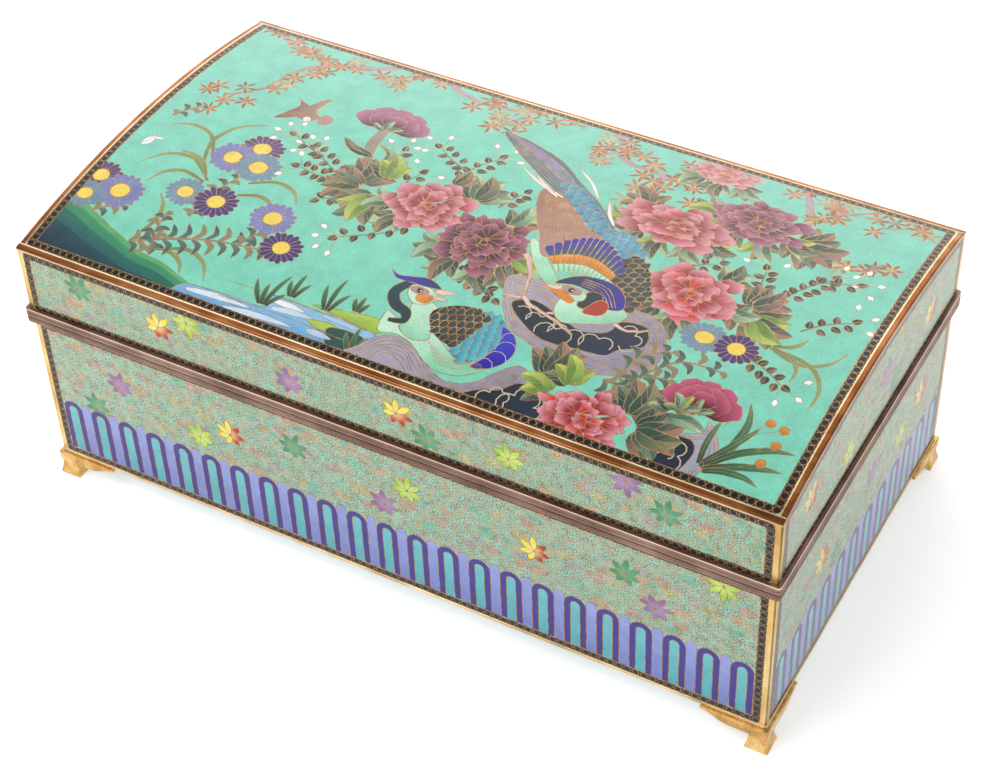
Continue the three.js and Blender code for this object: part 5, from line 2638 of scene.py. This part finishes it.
@dataclass(frozen=True)
class FloorSheet:
    """The box's enamelled floor."""

    lining: str = "#3f8fa6"

    def build(self) -> None:
        """Make the sheet."""
        low, high = box_of("body_floor")
        piece = block("floor_sheet", low, high)
        finish(piece, 0.2, ENAMEL)
        tint = piece.data.color_attributes.new(GLAZE_ATTRIBUTE, "FLOAT_COLOR", "CORNER")
        tint.data.foreach_set("color", [*linear(self.lining), 1.0] * len(tint.data))
        claim(piece, "lining_enamel", "body_floor")


@dataclass(frozen=True)
class Metalwork:
    """All that is not an enamelled panel."""

    parts: tuple[Any, ...] = (Rims(), Edging(), Posts(), BracketFeet(), FloorSheet())

    def build(self) -> None:
        """Make every part."""
        for part in self.parts:
            part.build()


# ------------------------------------------------------------------------ studio


@dataclass(frozen=True)
class SoftLight:
    """A square diffuse light aimed at the box.

    Attributes:
        azimuth: Its direction from the box, in degrees from the front towards the right.
        elevation: In degrees.
        distance: In metres.
        size: Its side, in metres.
        power: In watts.
    """

    name: str
    azimuth: float
    elevation: float
    distance: float
    size: float
    power: float

    def build(self, aim: Vector) -> None:
        """Hang the light."""
        light = bpy.data.lights.new(self.name, "AREA")
        light.size, light.energy = self.size, self.power
        lamp = placed(self.name, light)
        way = direction(self.azimuth, self.elevation)
        lamp.location = aim + way * self.distance
        lamp.rotation_euler = (-way).to_track_quat("-Z", "Y").to_euler()


def direction(azimuth: float, elevation: float) -> Vector:
    """Return the unit vector at an azimuth from the front (-Y) towards the right, in degrees."""
    a, e = math.radians(azimuth), math.radians(elevation)
    return Vector((math.cos(e) * math.sin(a), -math.cos(e) * math.cos(a), math.sin(e)))


@dataclass(frozen=True)
class Studio:
    """A pale floor, soft light all round and the camera.

    Attributes:
        lens: The focal length in millimetres, on a 36 mm wide sensor.
        azimuth: The camera's direction from its aim, in degrees from the front.
        elevation: In degrees.
        distance: In metres.
        roll: In degrees.
        aim: The camera's aim from the middle of the footprint, in metres.
        lit_wall: The direction of the brightest part of the surroundings.
        sky_level: The surroundings' brightness elsewhere.
        wall_level: Their brightness there.
        lights: The softboxes.
    """

    lens: float = 82.1
    azimuth: float = 30.64
    elevation: float = 43.02
    distance: float = 0.856
    roll: float = -2.48
    aim: Vector = Vector((-0.0105, 0.0179, 0.0222))
    lit_wall: Vector = Vector((-0.40, 0.85, 0.34))
    sky_level: float = 0.4
    wall_level: float = 2.2
    lights: tuple[SoftLight, ...] = (
        SoftLight("key_softbox", -30.0, 50.0, 1.3, 0.9, 8.0),
        SoftLight("fill_softbox", 95.0, 40.0, 1.5, 1.0, 1.5),
    )

    def build(self, middle: Vector) -> None:
        """Set up the floor, world, lights and camera."""
        self.floor()
        self.sky()
        bpy.context.scene.view_settings.view_transform = "Standard"
        for light in self.lights:
            light.build(middle)
        self.camera()

    def sky(self) -> None:
        """Surround the box with pale light that grows towards a lit wall behind it."""
        world = bpy.data.worlds.new("studio_white")
        world.use_nodes = True
        tree = world.node_tree
        way = add_node(tree, "TexCoord").outputs["Generated"]
        near = add_node(tree, "VectorMath", {"operation": "DOT_PRODUCT"},
                        {"0": way, "1": self.lit_wall.normalized()})
        glow = add_node(tree, "MapRange", {"interpolation_type": "SMOOTHSTEP"},
                        {"Value": near.outputs["Value"], "From Min": 0.6, "From Max": 1.0,
                         "To Min": self.sky_level, "To Max": self.wall_level})
        tree.links.new(glow.outputs[0], tree.nodes["Background"].inputs["Strength"])
        tree.nodes["Background"].inputs["Color"].default_value = (1.0, 1.0, 1.0, 1.0)
        bpy.context.scene.world = world

    def floor(self) -> None:
        """Lay the floor just under the feet."""
        bpy.ops.object.select_all(action="DESELECT")
        bpy.ops.mesh.primitive_plane_add(size=12.0, location=(0.0, 0.0, -0.0001))
        floor = bpy.context.object
        floor.name = "studio_floor"
        material = bpy.data.materials.new("matt_white_paper")
        material.use_nodes = True
        shader = material.node_tree.nodes["Principled BSDF"]
        shader.inputs["Base Color"].default_value = (0.95, 0.95, 0.95, 1.0)
        shader.inputs["Roughness"].default_value = 0.8
        shader.inputs["Emission Color"].default_value = (1.0, 1.0, 1.0, 1.0)
        shader.inputs["Emission Strength"].default_value = 0.45
        floor.data.materials.append(material)
        floor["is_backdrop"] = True

    def camera(self) -> None:
        """Place the camera and make it the scene's own."""
        data = bpy.data.cameras.new("view")
        data.lens, data.sensor_width = self.lens, SENSOR_WIDTH
        data.clip_start = 0.01
        camera = placed("view", data)
        way = direction(self.azimuth, self.elevation)
        camera.location = self.aim + way * self.distance
        turn = (-way).to_track_quat("-Z", "Y").to_matrix().to_4x4()
        turn = turn @ Matrix.Rotation(math.radians(self.roll), 4, "Z")
        camera.rotation_euler = turn.to_euler()
        bpy.context.scene.camera = camera


# ------------------------------------------------------------------------ the whole box


def extent() -> list[list[float]]:
    """Return the object's present box as two plain lists."""
    return [[float(v) for v in corner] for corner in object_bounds()]


def main() -> None:
    """Dress the frame."""
    logging.basicConfig(level=logging.INFO, format="%(name)s %(message)s")
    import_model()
    frame_box = extent()
    low, high = (Vector(c) for c in frame_box)
    Studio().build((low + high) / 2)
    for wall in WALLS:
        wall.build()
    LidPicture().build()
    Metalwork().build()


if __name__ == "__main__":
    main()
